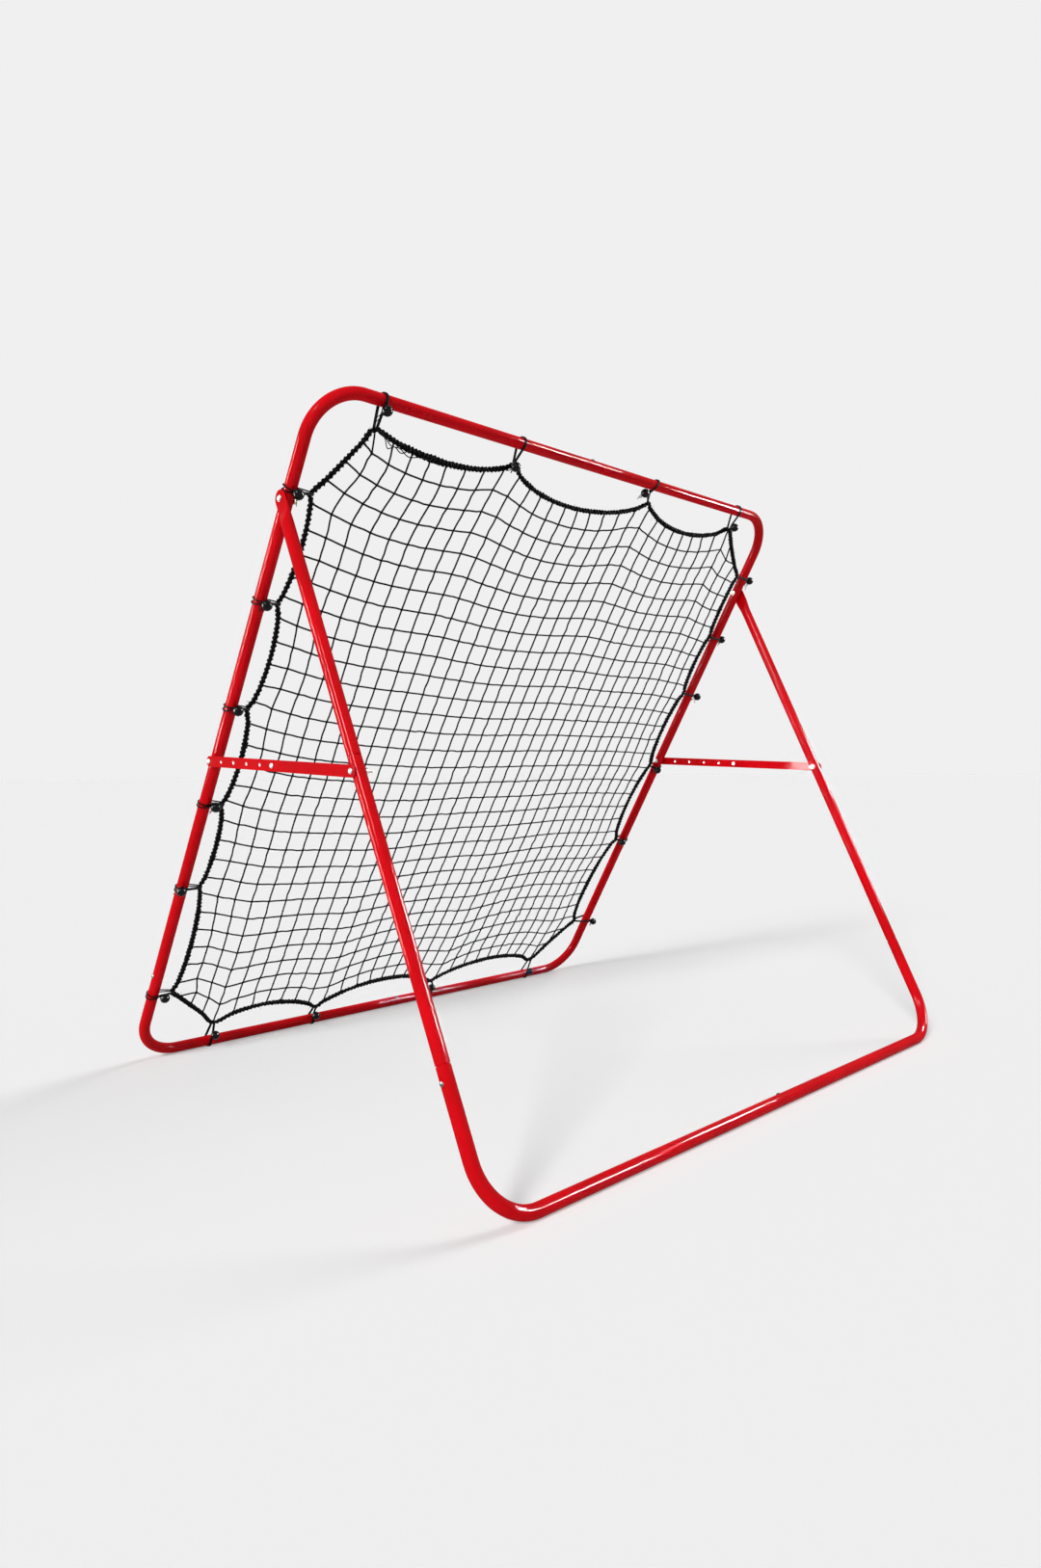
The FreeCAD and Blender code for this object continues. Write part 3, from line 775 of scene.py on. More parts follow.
@dataclass
class TubeShop:
    """Round tube, bent at one radius, with swaged ends that slide into the next tube."""

    bench: Bench
    sizes: Sizes
    sides: int = 40
    bend_steps: int = 20
    seam: float = 0.0016
    swage: float = 0.0022
    spigot_r: float = 0.0109
    spigot_shown: float = 0.012
    socket_shown: float = 0.010
    rim: float = 0.0004
    tongue_blend: float = 0.038
    tongue_steps: int = 8

    def end_stations(self, spigot: bool) -> list[tuple[float, float]]:
        """Rings of one end, from inside it to the full-size tube.

        Args:
            spigot: whether the end is swaged down.

        Returns:
            How far each ring is inside the joint line, and its radius.
        """
        full = self.sizes.tube_r
        if spigot:
            return [(-self.spigot_shown, self.spigot_r), (self.seam, self.spigot_r), (self.swage, full)]
        bore = full - self.sizes.tube_wall
        return [(self.socket_shown, bore), (self.rim, bore), (0.0, bore + self.rim), (0.0, full - self.rim),
                (self.rim, full)]

    def grow(self, ring: Vector, radius: float, target: Vector, new_radius: float) -> None:
        """Extrudes the selected ring to a new place and radius.

        Args:
            ring: where the ring is.
            radius: its radius.
            target: where the new ring goes.
            new_radius: the new ring's radius.
        """
        self.bench.extrude(target - ring)
        if not math.isclose(new_radius, radius):
            scale = new_radius / radius
            bpy.ops.transform.resize(value=(scale, scale, scale), center_override=tuple(target))

    def bent(self, name: str, points: Sequence[Vector], spigots: tuple[bool, bool]) -> bpy.types.Object:
        """Models one tube along its path, from ring to ring.

        Args:
            name: the piece's name.
            points: both ends, and the corner between them of a bent tube.
            spigots: whether the first and the last end are swaged down.

        Returns:
            The tube, flat.
        """
        way_in = (points[1] - points[0]).normalized()
        way_out = (points[-1] - points[-2]).normalized()
        rings = [(points[0] + way_in * depth, radius) for depth, radius in self.end_stations(spigots[0])]
        place, radius = rings[0]
        turn = way_in.to_track_quat("Z", "Y").to_euler()
        target = self.bench.start(name, bpy.ops.mesh.primitive_circle_add, vertices=self.sides,
                                  radius=radius, location=tuple(place), rotation=tuple(turn))
        self.bench.settle()
        with self.bench.editing(target):
            for new_place, new_radius in rings[1:]:
                self.grow(place, radius, new_place, new_radius)
                place, radius = new_place, new_radius
            if len(points) == 3:
                place = self.bend(place, points[1], way_in, way_out)
            closing = [(points[-1] - way_out * depth, size) for depth, size in self.end_stations(spigots[1])]
            for new_place, new_radius in reversed(closing):
                self.grow(place, radius, new_place, new_radius)
                place, radius = new_place, new_radius
            self.close()
        return target

    def bend(self, place: Vector, corner: Vector, way_in: Vector, way_out: Vector) -> Vector:
        """Runs the tube up to a corner and spins it round the bend.

        Args:
            place: the ring's place.
            corner: where the two centrelines meet.
            way_in: direction before the bend.
            way_out: direction after it.

        Returns:
            Where the ring is after the bend.
        """
        turn = way_in.angle(way_out)
        setback = self.sizes.bend_r * math.tan(turn / 2)
        start = corner - way_in * setback
        self.bench.extrude(start - place)
        axis = way_in.cross(way_out).normalized()
        centre = start + axis.cross(way_in) * self.sizes.bend_r
        bpy.ops.mesh.spin(steps=self.bend_steps, angle=-turn, center=tuple(centre), axis=tuple(axis))
        return corner + way_out * setback

    def close(self) -> None:
        """Closes the hidden ends and turns every face outwards."""
        bpy.ops.mesh.select_all(action="SELECT")
        bpy.ops.mesh.fill_holes(sides=0)
        self.bench.weld()

    def pressed(self, name: str, sign: float, lower: Vector) -> bpy.types.Object:
        """Models an upper leg: a round tube whose top is pressed into a flat, rounded tongue.

        Args:
            name: the piece's name.
            sign: -1 for the left leg, 1 for the right.
            lower: the joint with the next tube, where this one is swaged down.

        Returns:
            The tube, flat.
        """
        stations = self.tongue_stations(sign)
        place, radius, spread = stations[0]
        target = self.bench.start(name, bpy.ops.mesh.primitive_circle_add, vertices=self.sides, radius=radius,
                                  location=tuple(place), rotation=(math.pi / 2, 0, 0))
        self.bench.settle()
        with self.bench.editing(target):
            self.part(target, place, 0.0, spread)
            for new_place, new_radius, new_spread in stations[1:]:
                scale = new_radius / radius
                self.bench.extrude(new_place - place)
                bpy.ops.transform.resize(value=(scale, 1, scale), center_override=tuple(new_place))
                self.part(target, new_place, spread * scale, new_spread)
                place, radius, spread = new_place, new_radius, new_spread
            way = (lower - place).normalized()
            for depth, size in reversed(self.end_stations(True)):
                new_place = lower - way * depth
                self.grow(place, radius, new_place, size)
                place, radius = new_place, size
            self.close()
        return target

    def part(self, target: bpy.types.Object, place: Vector, spread: float, wanted: float) -> None:
        """Moves the front and back halves of the ring at a place apart, to a wanted spread.

        Args:
            target: the tube.
            place: the ring's place.
            spread: how far each half is out so far.
            wanted: how far it is to be.
        """
        for sign in (-1, 1):
            self.bench.pick(target, lambda co: abs(co.y - place.y) < TINY and co.z * sign > spread + TINY)
            bpy.ops.transform.translate(value=(0, 0, sign * (wanted - spread)))
        self.bench.pick(target, lambda co: abs(co.y - place.y) < TINY)

    def tongue_stations(self, sign: float) -> list[tuple[Vector, float, float]]:
        """Rings of the tongue from its tip to the round tube.

        Args:
            sign: -1 for the left leg, 1 for the right.

        Returns:
            Each ring's place, the radius of its rounded edges and how far apart they are from its middle.
        """
        sizes, steps = self.sizes, self.tongue_steps
        thin, wide = sizes.tube_wall, sizes.tongue_half
        stations = []
        for index in range(1, steps + 1):
            angle = math.pi / 2 * (1 - index / steps)
            place = Vector((sign * sizes.leg_x(0), sizes.leg_length + wide * math.sin(angle), 0))
            stations.append((place, thin, wide * math.cos(angle) - thin))
        for index in range(steps + 1):
            share = index / steps
            ease = share * share * (3 - 2 * share)
            drop = sizes.tongue_flat + self.tongue_blend * share
            x = sizes.leg_x(0) * (1 - ease) + sizes.leg_x(drop) * ease
            radius, spread = thin + (sizes.tube_r - thin) * ease, (wide - thin) * (1 - ease)
            stations.append((Vector((sign * x, sizes.leg_length - drop, 0)), radius, spread))
        return stations


@dataclass
class NetFrame:
    """The eight tubes of the leaning net frame."""

    shop: TubeShop
    plane: FlatFrame
    finishes: Finishes

    def make(self) -> None:
        """Models, stands up and dresses every tube."""
        sizes = self.shop.sizes
        middle = sizes.pivot_height - sizes.stay_arm + sizes.past_joint
        high = sizes.pivot_height + sizes.past_joint
        for side, sign in SIGNS.items():
            left = side is Side.LEFT
            edge, low, top = sign * sizes.half_width, sizes.low_joint, sizes.frame_length
            runs = {
                "bottom_corner": ([(edge, low), (edge, 0), (sizes.bottom_joint, 0)], (False, left)),
                "lower_upright": ([(edge, middle), (edge, low)], (False, True)),
                "upper_upright": ([(edge, high), (edge, middle)], (False, True)),
                "top_corner": ([(edge, high), (edge, top), (sizes.top_joint, top)], (True, not left)),
            }
            for kind, (route, spigots) in runs.items():
                name = f"{side.value}_{kind}_tube"
                points = [Vector((x, y, 0)) for x, y in route]
                target = self.shop.bent(f"looks_{name}", points, spigots)
                self.shop.bench.placed(target, self.plane.matrix)
                self.shop.bench.smooth(target)
                self.shop.bench.finished(target, self.finishes.red, "net_frame", "tube_red", name)


@dataclass
class LegFrame:
    """The six tubes of the folding leg frame."""

    shop: TubeShop
    plane: FlatFrame
    finishes: Finishes

    def point(self, sign: float, drop: float) -> Vector:
        """A point on a leg's centreline, this far below the pivot."""
        sizes = self.shop.sizes
        return Vector((sign * sizes.leg_x(drop), sizes.leg_length - drop, 0))

    def make(self) -> None:
        """Models, stands up and dresses every tube."""
        sizes = self.shop.sizes
        high_drop = sizes.stay_arm - sizes.past_joint
        for side, sign in SIGNS.items():
            high, low = self.point(sign, high_drop), self.point(sign, sizes.low_leg_drop)
            base = [low, self.point(sign, sizes.leg_length), Vector((sizes.base_joint, 0, 0))]
            start, left = f"looks_{side.value}", side is Side.LEFT
            legs = {
                "upper_leg": self.shop.pressed(f"{start}_upper_leg_tube", sign, high),
                "middle_leg": self.shop.bent(f"{start}_middle_leg_tube", [high, low], (False, True)),
                "base_corner": self.shop.bent(f"{start}_base_corner_tube", base, (False, left)),
            }
            for kind, target in legs.items():
                self.shop.bench.placed(target, self.plane.matrix)
                self.shop.bench.smooth(target)
                name = f"{side.value}_{kind}_tube"
                self.shop.bench.finished(target, self.finishes.red, "leg_frame", "tube_red", name)


# Fasteners


@dataclass
class Fasteners:
    """Domed bolts, washers, nuts and joint screws."""

    bench: Bench
    finishes: Finishes
    bolt_r: float = 0.003
    head_r: float = 0.0055
    head_height: float = 0.0036
    pitch: float = 0.001
    crest: tuple[float, float] = (0.4, 0.6)
    groove: float = 0.0004
    lead: float = 0.0006
    thread_share: float = 0.6
    longest_thread: float = 0.024
    washer_r: float = 0.0065
    washer_thick: float = 0.0012
    nut_flats: float = 0.010
    nut_height: float = 0.005
    nut_chamfer: float = 0.0009
    nut_foot: float = 0.0006
    nut_face: float = 0.96
    collar_rise: float = 0.0016
    collar_foot: float = 0.7
    collar_wall: float = 0.86
    collar_top: float = 0.70
    screw_r: float = 0.0045
    screw_height: float = 0.0024
    screw_shank: tuple[float, float] = (0.002, 0.001)
    recess: tuple[float, float, float] = (0.0048, 0.0009, 0.0026)
    soft: float = 0.0002
    seat: float = 0.00005
    tail: float = 0.002

    def dome(self, radius: float, height: float, steps: int = 7) -> list[tuple[float, float]]:
        """Profile of a domed head on its seat, from its top to its rim's foot.

        Args:
            radius: the head's radius.
            height: the head's height.
            steps: faces from top to rim.

        Returns:
            Radius and height of each corner.
        """
        rim = height / 3
        rise = height - rim
        sphere = (radius ** 2 + rise ** 2) / (2 * rise)
        reach = math.asin(radius / sphere)
        profile = []
        for index in range(steps + 1):
            angle = reach * index / steps
            profile.append((sphere * math.sin(angle), height - sphere * (1 - math.cos(angle))))
        return profile + [(radius, self.soft), (radius - self.soft, 0.0)]

    def thread(self, start: float, length: float, radius: float) -> list[tuple[float, float]]:
        """Profile of a thread that runs down from a height.

        Args:
            start: that height.
            length: how far it runs.
            radius: the bolt's radius.

        Returns:
            Radius and height of each corner.
        """
        profile = []
        for index in range(int(length / self.pitch)):
            top = start - index * self.pitch
            profile.append((radius - self.groove, top))
            profile += [(radius, top - self.pitch * share) for share in self.crest]
        return profile + [(radius - self.lead, start - length), (0.0, start - length)]

    def bolt(self, name: str, seat: Vector, outwards: Vector, length: float) -> bpy.types.Object:
        """Bolt with its head on the seat, its far half threaded.

        Args:
            name: the piece's name.
            seat: the point it sits on.
            outwards: the way it faces.
            length: from the seat to the shank's end.

        Returns:
            The bolt.
        """
        profile = self.dome(self.head_r, self.head_height)
        threaded = min(length * self.thread_share, self.longest_thread)
        profile += [(self.bolt_r, 0.0), (self.bolt_r, threaded - length)]
        profile += self.thread(threaded - length, threaded, self.bolt_r)
        return self.stand(self.bench.turned(name, profile), seat, outwards)

    def stud(self, name: str, seat: Vector, outwards: Vector, length: float) -> bpy.types.Object:
        """Threaded end of a bolt, from the seat backwards.

        Args:
            name: the piece's name.
            seat: the point it sits on.
            outwards: the way it faces.
            length: how far it runs.

        Returns:
            The threaded end.
        """
        profile = [(0.0, 0.0), (self.bolt_r, 0.0)] + self.thread(0.0, length, self.bolt_r)
        return self.stand(self.bench.turned(name, profile), seat, outwards)

    def stand(self, target: bpy.types.Object, seat: Vector, outwards: Vector) -> bpy.types.Object:
        """Puts a turned piece on its seat and shades it.

        Args:
            target: the piece.
            seat: the point it sits on.
            outwards: the way it faces.

        Returns:
            The piece.
        """
        self.bench.placed(target, facing(seat, outwards))
        self.bench.smooth(target, 30)
        return target

    def washer(self, name: str, seat: Vector, outwards: Vector) -> bpy.types.Object:
        """Flat washer with softened edges.

        Args:
            name: the piece's name.
            seat: the point it sits on.
            outwards: the way it faces.

        Returns:
            The washer.
        """
        soft, thick = self.soft, self.washer_thick
        bore = self.bolt_r + soft
        profile = [(bore, thick), (self.washer_r - soft, thick), (self.washer_r, thick - soft),
                   (self.washer_r, soft), (self.washer_r - soft, 0), (bore, 0), (bore, thick)]
        return self.stand(self.bench.turned(name, profile), seat, outwards)

    def nut(self, name: str, seat: Vector, outwards: Vector, locking: bool = False) -> bpy.types.Object:
        """Hexagon nut with chamfered corners, and a round collar if it is a lock nut.

        Args:
            name: the piece's name.
            seat: the point it sits on.
            outwards: the way it faces.
            locking: whether it is a lock nut.

        Returns:
            The nut.
        """
        flats, height = self.nut_flats / 2, self.nut_height
        corner = flats / math.cos(math.radians(30))
        hexagon = self.bench.start(name, bpy.ops.mesh.primitive_cylinder_add, vertices=6, radius=corner,
                                   depth=height, location=(0, 0, height / 2))
        self.bench.settle()
        face = flats * self.nut_face
        cone = [(0.0, height), (face, height), (corner, height - self.nut_chamfer), (corner, self.nut_foot),
                (face, 0.0), (0.0, 0.0)]
        self.bench.carve(hexagon, self.bench.turned("nut_chamfer", cone), "INTERSECT")
        if locking:
            foot, top = height * self.collar_foot, height + self.collar_rise
            wall, lip = flats * self.collar_wall, flats * self.collar_top
            collar = [(0.0, foot), (wall, foot), (wall, top - self.nut_foot), (lip, top), (0.0, top)]
            self.bench.carve(hexagon, self.bench.turned("nut_collar", collar[::-1]), "UNION")
        hole, above, below = self.bolt_r - self.soft, 4 * height, -2 * height
        bore = [(0.0, above), (hole, above), (hole, below), (0.0, below)]
        self.bench.carve(hexagon, self.bench.turned("nut_bore", bore))
        return self.stand(hexagon, seat, outwards)

    def screw(self, name: str) -> bpy.types.Object:
        """Pan-head joint screw with a cross recess, standing on the origin.

        Args:
            name: the screw's name.

        Returns:
            The screw.
        """
        shank_r, depth = self.screw_shank
        shank = [(shank_r, -depth), (0.0, -depth)]
        head = self.bench.turned(name, self.dome(self.screw_r, self.screw_height) + shank)
        for turn in (0.0, math.pi / 2):
            slot = self.bench.start("recess", bpy.ops.mesh.primitive_cube_add, size=1.0,
                                    location=(0, 0, self.screw_height), rotation=(0, 0, turn))
            bpy.ops.transform.resize(value=self.recess, orient_type="LOCAL")
            self.bench.settle()
            self.bench.carve(head, slot)
        return head

    def screws(self, node: str, body: str, places: Sequence[Matrix]) -> None:
        """All the joint screws of one frame, copied from one.

        Args:
            node: the CAD node they stand for.
            body: the frame's body.
            places: where each screw goes.
        """
        first = self.screw(f"looks_{node}")
        copies = [self.bench.copy(first, f"{node}_{index}") for index in range(len(places))]
        for copy, place in zip(copies, places):
            self.bench.placed(copy, place)
        bpy.data.objects.remove(first)
        joined = self.bench.joined(f"looks_{node}", copies)
        self.bench.smooth(joined, 30)
        self.bench.finished(joined, self.finishes.dull, body, "zinc", node)


@dataclass
class Hardware:
    """Every bolt, washer, nut and screw of the two frames in its place."""

    fasteners: Fasteners
    layout: Layout
    stay_clear: float = 0.002
    leg_tail: float = 0.009

    def make(self) -> None:
        """Makes the pivots, the stay bolts and the joint screws."""
        sizes, shop = self.layout.sizes, self.fasteners
        outer = sizes.tongue_middle + sizes.tube_wall + sizes.tongue_gap
        inner = sizes.half_width - sizes.tube_r
        pivot, net_stay, leg_stay = self.layout.pivot, self.layout.net_stay, self.layout.leg_stay
        head_x = outer + shop.washer_thick + shop.seat
        self.crossing(Crossing.PIVOT, "net_frame", pivot, head_x, inner, shop.tail, [outer])
        head_x = net_stay.x + self.stay_clear
        self.crossing(Crossing.UPRIGHT_STAY, "net_frame", net_stay, head_x, inner, shop.tail, [])
        inner_leg = leg_stay.x - (net_stay.x - sizes.half_width) - sizes.tube_r
        head_x = leg_stay.x + self.stay_clear
        self.crossing(Crossing.LEG_STAY, "leg_frame", leg_stay, head_x, inner_leg, self.leg_tail, [])
        self.joint_screws()

    def crossing(self, kind: Crossing, body: str, at: Vector, head_x: float, inner_x: float, tail: float,
                 extra: Sequence[float]) -> None:
        """Bolts along X through both sides, with washers and nuts inside.

        Args:
            kind: which bolts, and how their nodes' names begin.
            body: the body that carries them.
            at: the bolt's height and depth.
            head_x: how far out the head sits.
            inner_x: how far out the tube's inner face is.
            tail: how much thread shows past the nut.
            extra: where more washers sit, facing outwards.
        """
        shop = self.fasteners
        seat = shop.seat
        nut_x = inner_x - seat - shop.washer_thick - seat
        length = head_x - nut_x + shop.nut_height + tail
        pivot = kind is Crossing.PIVOT
        groups: dict[str, list[bpy.types.Object]] = {"bolts": [], "washers": [], "nuts": []}
        for sign in SIGNS.values():
            out = ACROSS * sign
            place = {x: Vector((sign * x, at.y, at.z)) for x in (head_x, inner_x - seat, nut_x, *extra)}
            groups["bolts"].append(shop.bolt("bolt", place[head_x], out, length))
            groups["washers"].append(shop.washer("washer", place[inner_x - seat], -out))
            groups["washers"] += [shop.washer("washer", place[x], out) for x in extra]
            groups["nuts"].append(shop.nut("nut", place[nut_x], -out, locking=pivot))
        for group, parts in groups.items():
            locked = pivot and group == "nuts"
            node = f"{kind.value}_lock_nuts" if locked else f"{kind.value}_{group}"
            target = shop.bench.joined(f"looks_{node}", parts)
            finish = shop.finishes.brass if locked else shop.finishes.zinc
            shop.bench.finished(target, finish, body, "zinc", node)

    def joint_screws(self) -> None:
        """Screws beside the tube joints."""
        sizes = self.layout.sizes
        out = sizes.tube_r + self.fasteners.seat
        net = self.layout.net_plane.matrix
        leg = self.layout.leg_plane.matrix
        low = sizes.low_joint - sizes.past_joint
        net_places = [facing(Vector((sizes.top_joint - sizes.past_joint, sizes.frame_length + out, 0)), UP),
                      facing(Vector((sizes.bottom_joint + sizes.past_joint, out, 0)), UP)]
        leg_places = [facing(Vector((sizes.base_joint + sizes.past_joint, out, 0)), UP)]
        drop = sizes.low_leg_drop + sizes.past_joint
        for sign in SIGNS.values():
            net_places.append(facing(Vector((sign * (sizes.half_width + out), low, 0)), ACROSS * sign))
            leg_seat = Vector((sign * (sizes.leg_x(drop) + out), sizes.leg_length - drop, 0))
            leg_places.append(facing(leg_seat, ACROSS * sign))
        self.fasteners.screws("net_frame_joint_screws", "net_frame", [net @ place for place in net_places])
        self.fasteners.screws("leg_frame_joint_screws", "leg_frame", [leg @ place for place in leg_places])


# Stays


@dataclass
class Stays:
    """On each side a holed and a plain flat bar, bolted together in the middle."""

    fasteners: Fasteners
    layout: Layout
    thick: float = 0.003
    holes: int = 5
    hole_r: float = 0.0034
    edge: float = 0.0004
    bars_apart: float = 0.0033
    clear: float = 0.0003
    rub: float = 0.0003

    def make(self) -> None:
        """Models both sides."""
        holed, plain = self.layout.net_stay, self.layout.leg_stay
        rise = (plain.x - holed.x - self.bars_apart) / 2
        middle = (holed + plain) / 2
        for side, sign in SIGNS.items():
            ends = {Bar.HOLED: (holed, Vector((holed.x + rise, middle.y, middle.z))),
                    Bar.PLAIN: (plain, Vector((plain.x - rise, middle.y, middle.z)))}
            for kind, (pivot, meeting) in ends.items():
                pivot = Vector((sign * pivot.x, pivot.y, pivot.z))
                meeting = Vector((sign * meeting.x, meeting.y, meeting.z))
                self.bar(side, kind, pivot, meeting)
                self.middle_bolt(side, kind, meeting, ACROSS * sign)

    def bar(self, side: Side, kind: Bar, pivot: Vector, meeting: Vector) -> None:
        """Flat bar with round ends and its holes.

        Args:
            side: left or right.
            kind: which of the two bars.
            pivot: the bar's hinge hole.
            meeting: the middle bolt's hole in this bar.
        """
        bench = self.fasteners.bench
        length = (meeting - pivot).length
        name = f"{side.value}_{kind.value}_bar"
        target = bench.start(f"looks_{name}", bpy.ops.mesh.primitive_circle_add, vertices=64,
                             radius=self.layout.sizes.stay_half, location=(0, 0, -self.thick / 2))
        bench.settle()
        with bench.editing(target):
            bench.pick(target, lambda co: co.x > TINY)
            bpy.ops.transform.translate(value=(length, 0, 0))
            bpy.ops.mesh.select_all(action="SELECT")
            bpy.ops.mesh.edge_face_add()
            bpy.ops.mesh.extrude_region_move(TRANSFORM_OT_translate={"value": (0, 0, self.thick)})
            bpy.ops.mesh.select_all(action="SELECT")
            bpy.ops.mesh.normals_make_consistent(inside=False)
        steps = self.holes if kind is Bar.HOLED else 1
        holes = [length * index / steps for index in range(steps + 1)]
        for place in holes:
            hole = bench.start("hole", bpy.ops.mesh.primitive_cylinder_add, vertices=32, radius=self.hole_r,
                               depth=6 * self.thick, location=(place, 0, 0))
            bench.carve(target, hole)
        bench.modify(target, "BEVEL", width=self.edge, segments=2, limit_method="ANGLE",
                     angle_limit=math.radians(40))
        along = (meeting - pivot).normalized()
        wide = ACROSS.cross(along).normalized()
        turn = Matrix((along, wide, along.cross(wide))).transposed().to_4x4()
        body = f"{side.value}_{kind.value}_stay"
        bench.finished(target, self.fasteners.finishes.red, body, "tube_red", name)
        self.bare(target, holes)
        bench.placed(target, Matrix.Translation(pivot) @ turn)
        bench.smooth(target, 30)
        bench.modify(target, "WEIGHTED_NORMAL", keep_sharp=True)

    def bare(self, bar: bpy.types.Object, holes: Sequence[float]) -> None:
        """Gives the walls of the holes bare metal, where bolts have rubbed the paint off.

        Args:
            bar: the bar, still flat on the origin.
            holes: how far along it each hole is.
        """
        bar.data.materials.append(self.fasteners.finishes.zinc)
        reach = self.hole_r + self.rub
        for face in bar.data.polygons:
            if any(math.hypot(face.center.x - hole, face.center.y) < reach for hole in holes):
                face.material_index = 1

    def middle_bolt(self, side: Side, kind: Bar, meeting: Vector, out: Vector) -> None:
        """The bolt's head with the plain bar, or its nut and end with the holed bar.

        Args:
            side: left or right.
            kind: which of the two bars.
            meeting: the bolt's hole in this bar.
            out: outwards on this side.
        """
        shop = self.fasteners
        half, length = self.thick / 2, self.thick + self.clear
        node = f"{side.value}_middle"
        seat = out * (half + self.clear)
        if kind is Bar.PLAIN:
            pieces = {f"{node}_bolt": shop.bolt(f"looks_{node}_bolt", meeting + seat, out, length)}
        else:
            length += shop.nut_height + shop.tail
            pieces = {
                f"{node}_nut": shop.nut(f"looks_{node}_nut", meeting - seat, -out),
                f"{node}_bolt_end": shop.stud(f"looks_{node}_bolt_end", meeting + out * half, out, length),
            }
        for name, target in pieces.items():
            shop.bench.finished(target, shop.finishes.zinc, f"{side.value}_{kind.value}_stay", "zinc", name)


# Elastic loops


@dataclass(frozen=True)
class Loop:
    """One elastic loop and its ball.

    Attributes:
        side: the side of the net frame.
        share: where it sits along the straight tube, from 0 to 1.
        reach: from the tube's centreline to the border rope's.
        ball_along: how far along the tube the ball sits from the loop.
        ball_inwards: how far inside the tube's centreline the ball sits.
        mesh: where the loop grips the net, counted in meshes along that side.
        pull: how tight the rope is from this loop to the next, clockwise seen from the front.
    """

    side: Side
    share: float
    reach: float
    ball_along: float
    ball_inwards: float
    mesh: float
    pull: float


def hung(side: Side, *rows: tuple[float, float, float, float, float, float]) -> list[Loop]:
    """Loops of one side, given in millimetres."""
    return [Loop(side, share, reach * MM, along * MM, inwards * MM, mesh, pull)
            for share, reach, along, inwards, mesh, pull in rows]


LOOPS = (
    hung(Side.LEFT, (0.060, 46, 6, 18, 1.5, 6), (0.2755, 41, 9.5, -12.5, 7.25, 6),
         (0.432, 39, 7, 13, 11.75, 6), (0.597, 37, 8, 2, 16.6, 6.5), (0.7655, 40, 3.5, 1, 21.5, 12),
         (0.928, 45, -0.5, 3.5, 26.25, 30))
    + hung(Side.RIGHT, (0.0705, 59, -5.7, -21.5, 2.6, 28), (0.300, 35, 0.5, 25.3, 9.35, 5),
           (0.4964, 33, -4.5, 18, 15.15, 5), (0.678, 30, -2.5, -22, 20.5, 5),
           (0.812, 30, -2, -26.4, 24.45, 5), (0.9496, 32, -4.5, -25.7, 28.5, 6))
    + hung(Side.TOP, (0.0323, 54, -3, 12.7, 1.0, 8), (0.3154, 45, -9, 47, 8.35, 8.5),
           (0.6754, 45, -31, 23.6, 18.75, 8.5), (0.9508, 52, -6, 40.5, 27.0, 28))
    + hung(Side.BOTTOM, (0.063, 58, 2, 35, 3.0, 28), (0.296, 40, -5.8, 28, 9.6, 8.5),
           (0.602, 50, 15, 23.7, 18.85, 8.5), (0.924, 59, -4.5, 26.6, 28.0, 9))
)


@dataclass(frozen=True)
class Rigging:
    """Where the loops sit on the net frame, in its flat coordinates."""

    sizes: Sizes
    rope_r: float = 0.0035
    elastic_r: float = 0.0015
    ball_r: float = 0.011
    gap: float = 0.0003
    width: float = 0.0065

    def place(self, loop: Loop) -> float:
        """How far along its side the loop sits: a height on the uprights, an X on the bars.

        Args:
            loop: the loop and its ball.

        Returns:
            The height or the X, clear of the pivot and the stay.
        """
        sizes = self.sizes
        if loop.side not in SIGNS:
            return (loop.share - 0.5) * (2 * sizes.half_width - 2 * sizes.bend_r)
        height = sizes.bend_r + loop.share * (sizes.frame_length - 2 * sizes.bend_r)
        stay_height = sizes.pivot_height - sizes.stay_arm
        for centre, half in ((sizes.pivot_height, sizes.tongue_half), (stay_height, sizes.stay_half)):
            room = half + self.width / 2 + 2 * self.gap
            if abs(height - centre) < room:
                return centre + math.copysign(room, height - centre)
        return height

    def flat(self, loop: Loop, along: float, inwards: float, front: float) -> Vector:
        """Flat point given from the loop's place on its tube's centreline.

        Args:
            loop: the loop and its ball.
            along: how far along the tube.
            inwards: how far inwards.
            front: how far to the front.

        Returns:
            The point.
        """
        spot = self.place(loop) + along
        if loop.side in SIGNS:
            return Vector((SIGNS[loop.side] * (self.sizes.half_width - inwards), spot, front))
        if loop.side is Side.TOP:
            return Vector((spot, self.sizes.frame_length - inwards, front))
        return Vector((spot, inwards, front))

    def ball_front(self, loop: Loop) -> float:
        """How far to the front the ball sits, on its elastic or on the tube beside it.

        Args:
            loop: the loop and its ball.

        Returns:
            How far its centre is from the frame's plane.
        """
        beside = max(0.0, abs(loop.ball_along) - self.width / 2)
        tube_r = self.sizes.tube_r
        if beside >= self.ball_r + self.gap:
            return math.sqrt((tube_r + self.ball_r + self.gap) ** 2 - loop.ball_inwards ** 2)
        over = math.sqrt((self.ball_r + self.gap) ** 2 - beside ** 2)
        near = tube_r + self.gap + 2 * self.elastic_r + over
        far = self.rope_r + self.gap + 2 * self.elastic_r + over
        slope = math.asin((near - far) / loop.reach)
        if loop.ball_inwards <= near * math.sin(slope):
            return math.sqrt(near ** 2 - loop.ball_inwards ** 2)
        return (near - loop.ball_inwards * math.sin(slope)) / math.cos(slope)

    def ball(self, loop: Loop) -> Vector:
        """The ball's centre."""
        return self.flat(loop, loop.ball_along, loop.ball_inwards, self.ball_front(loop))


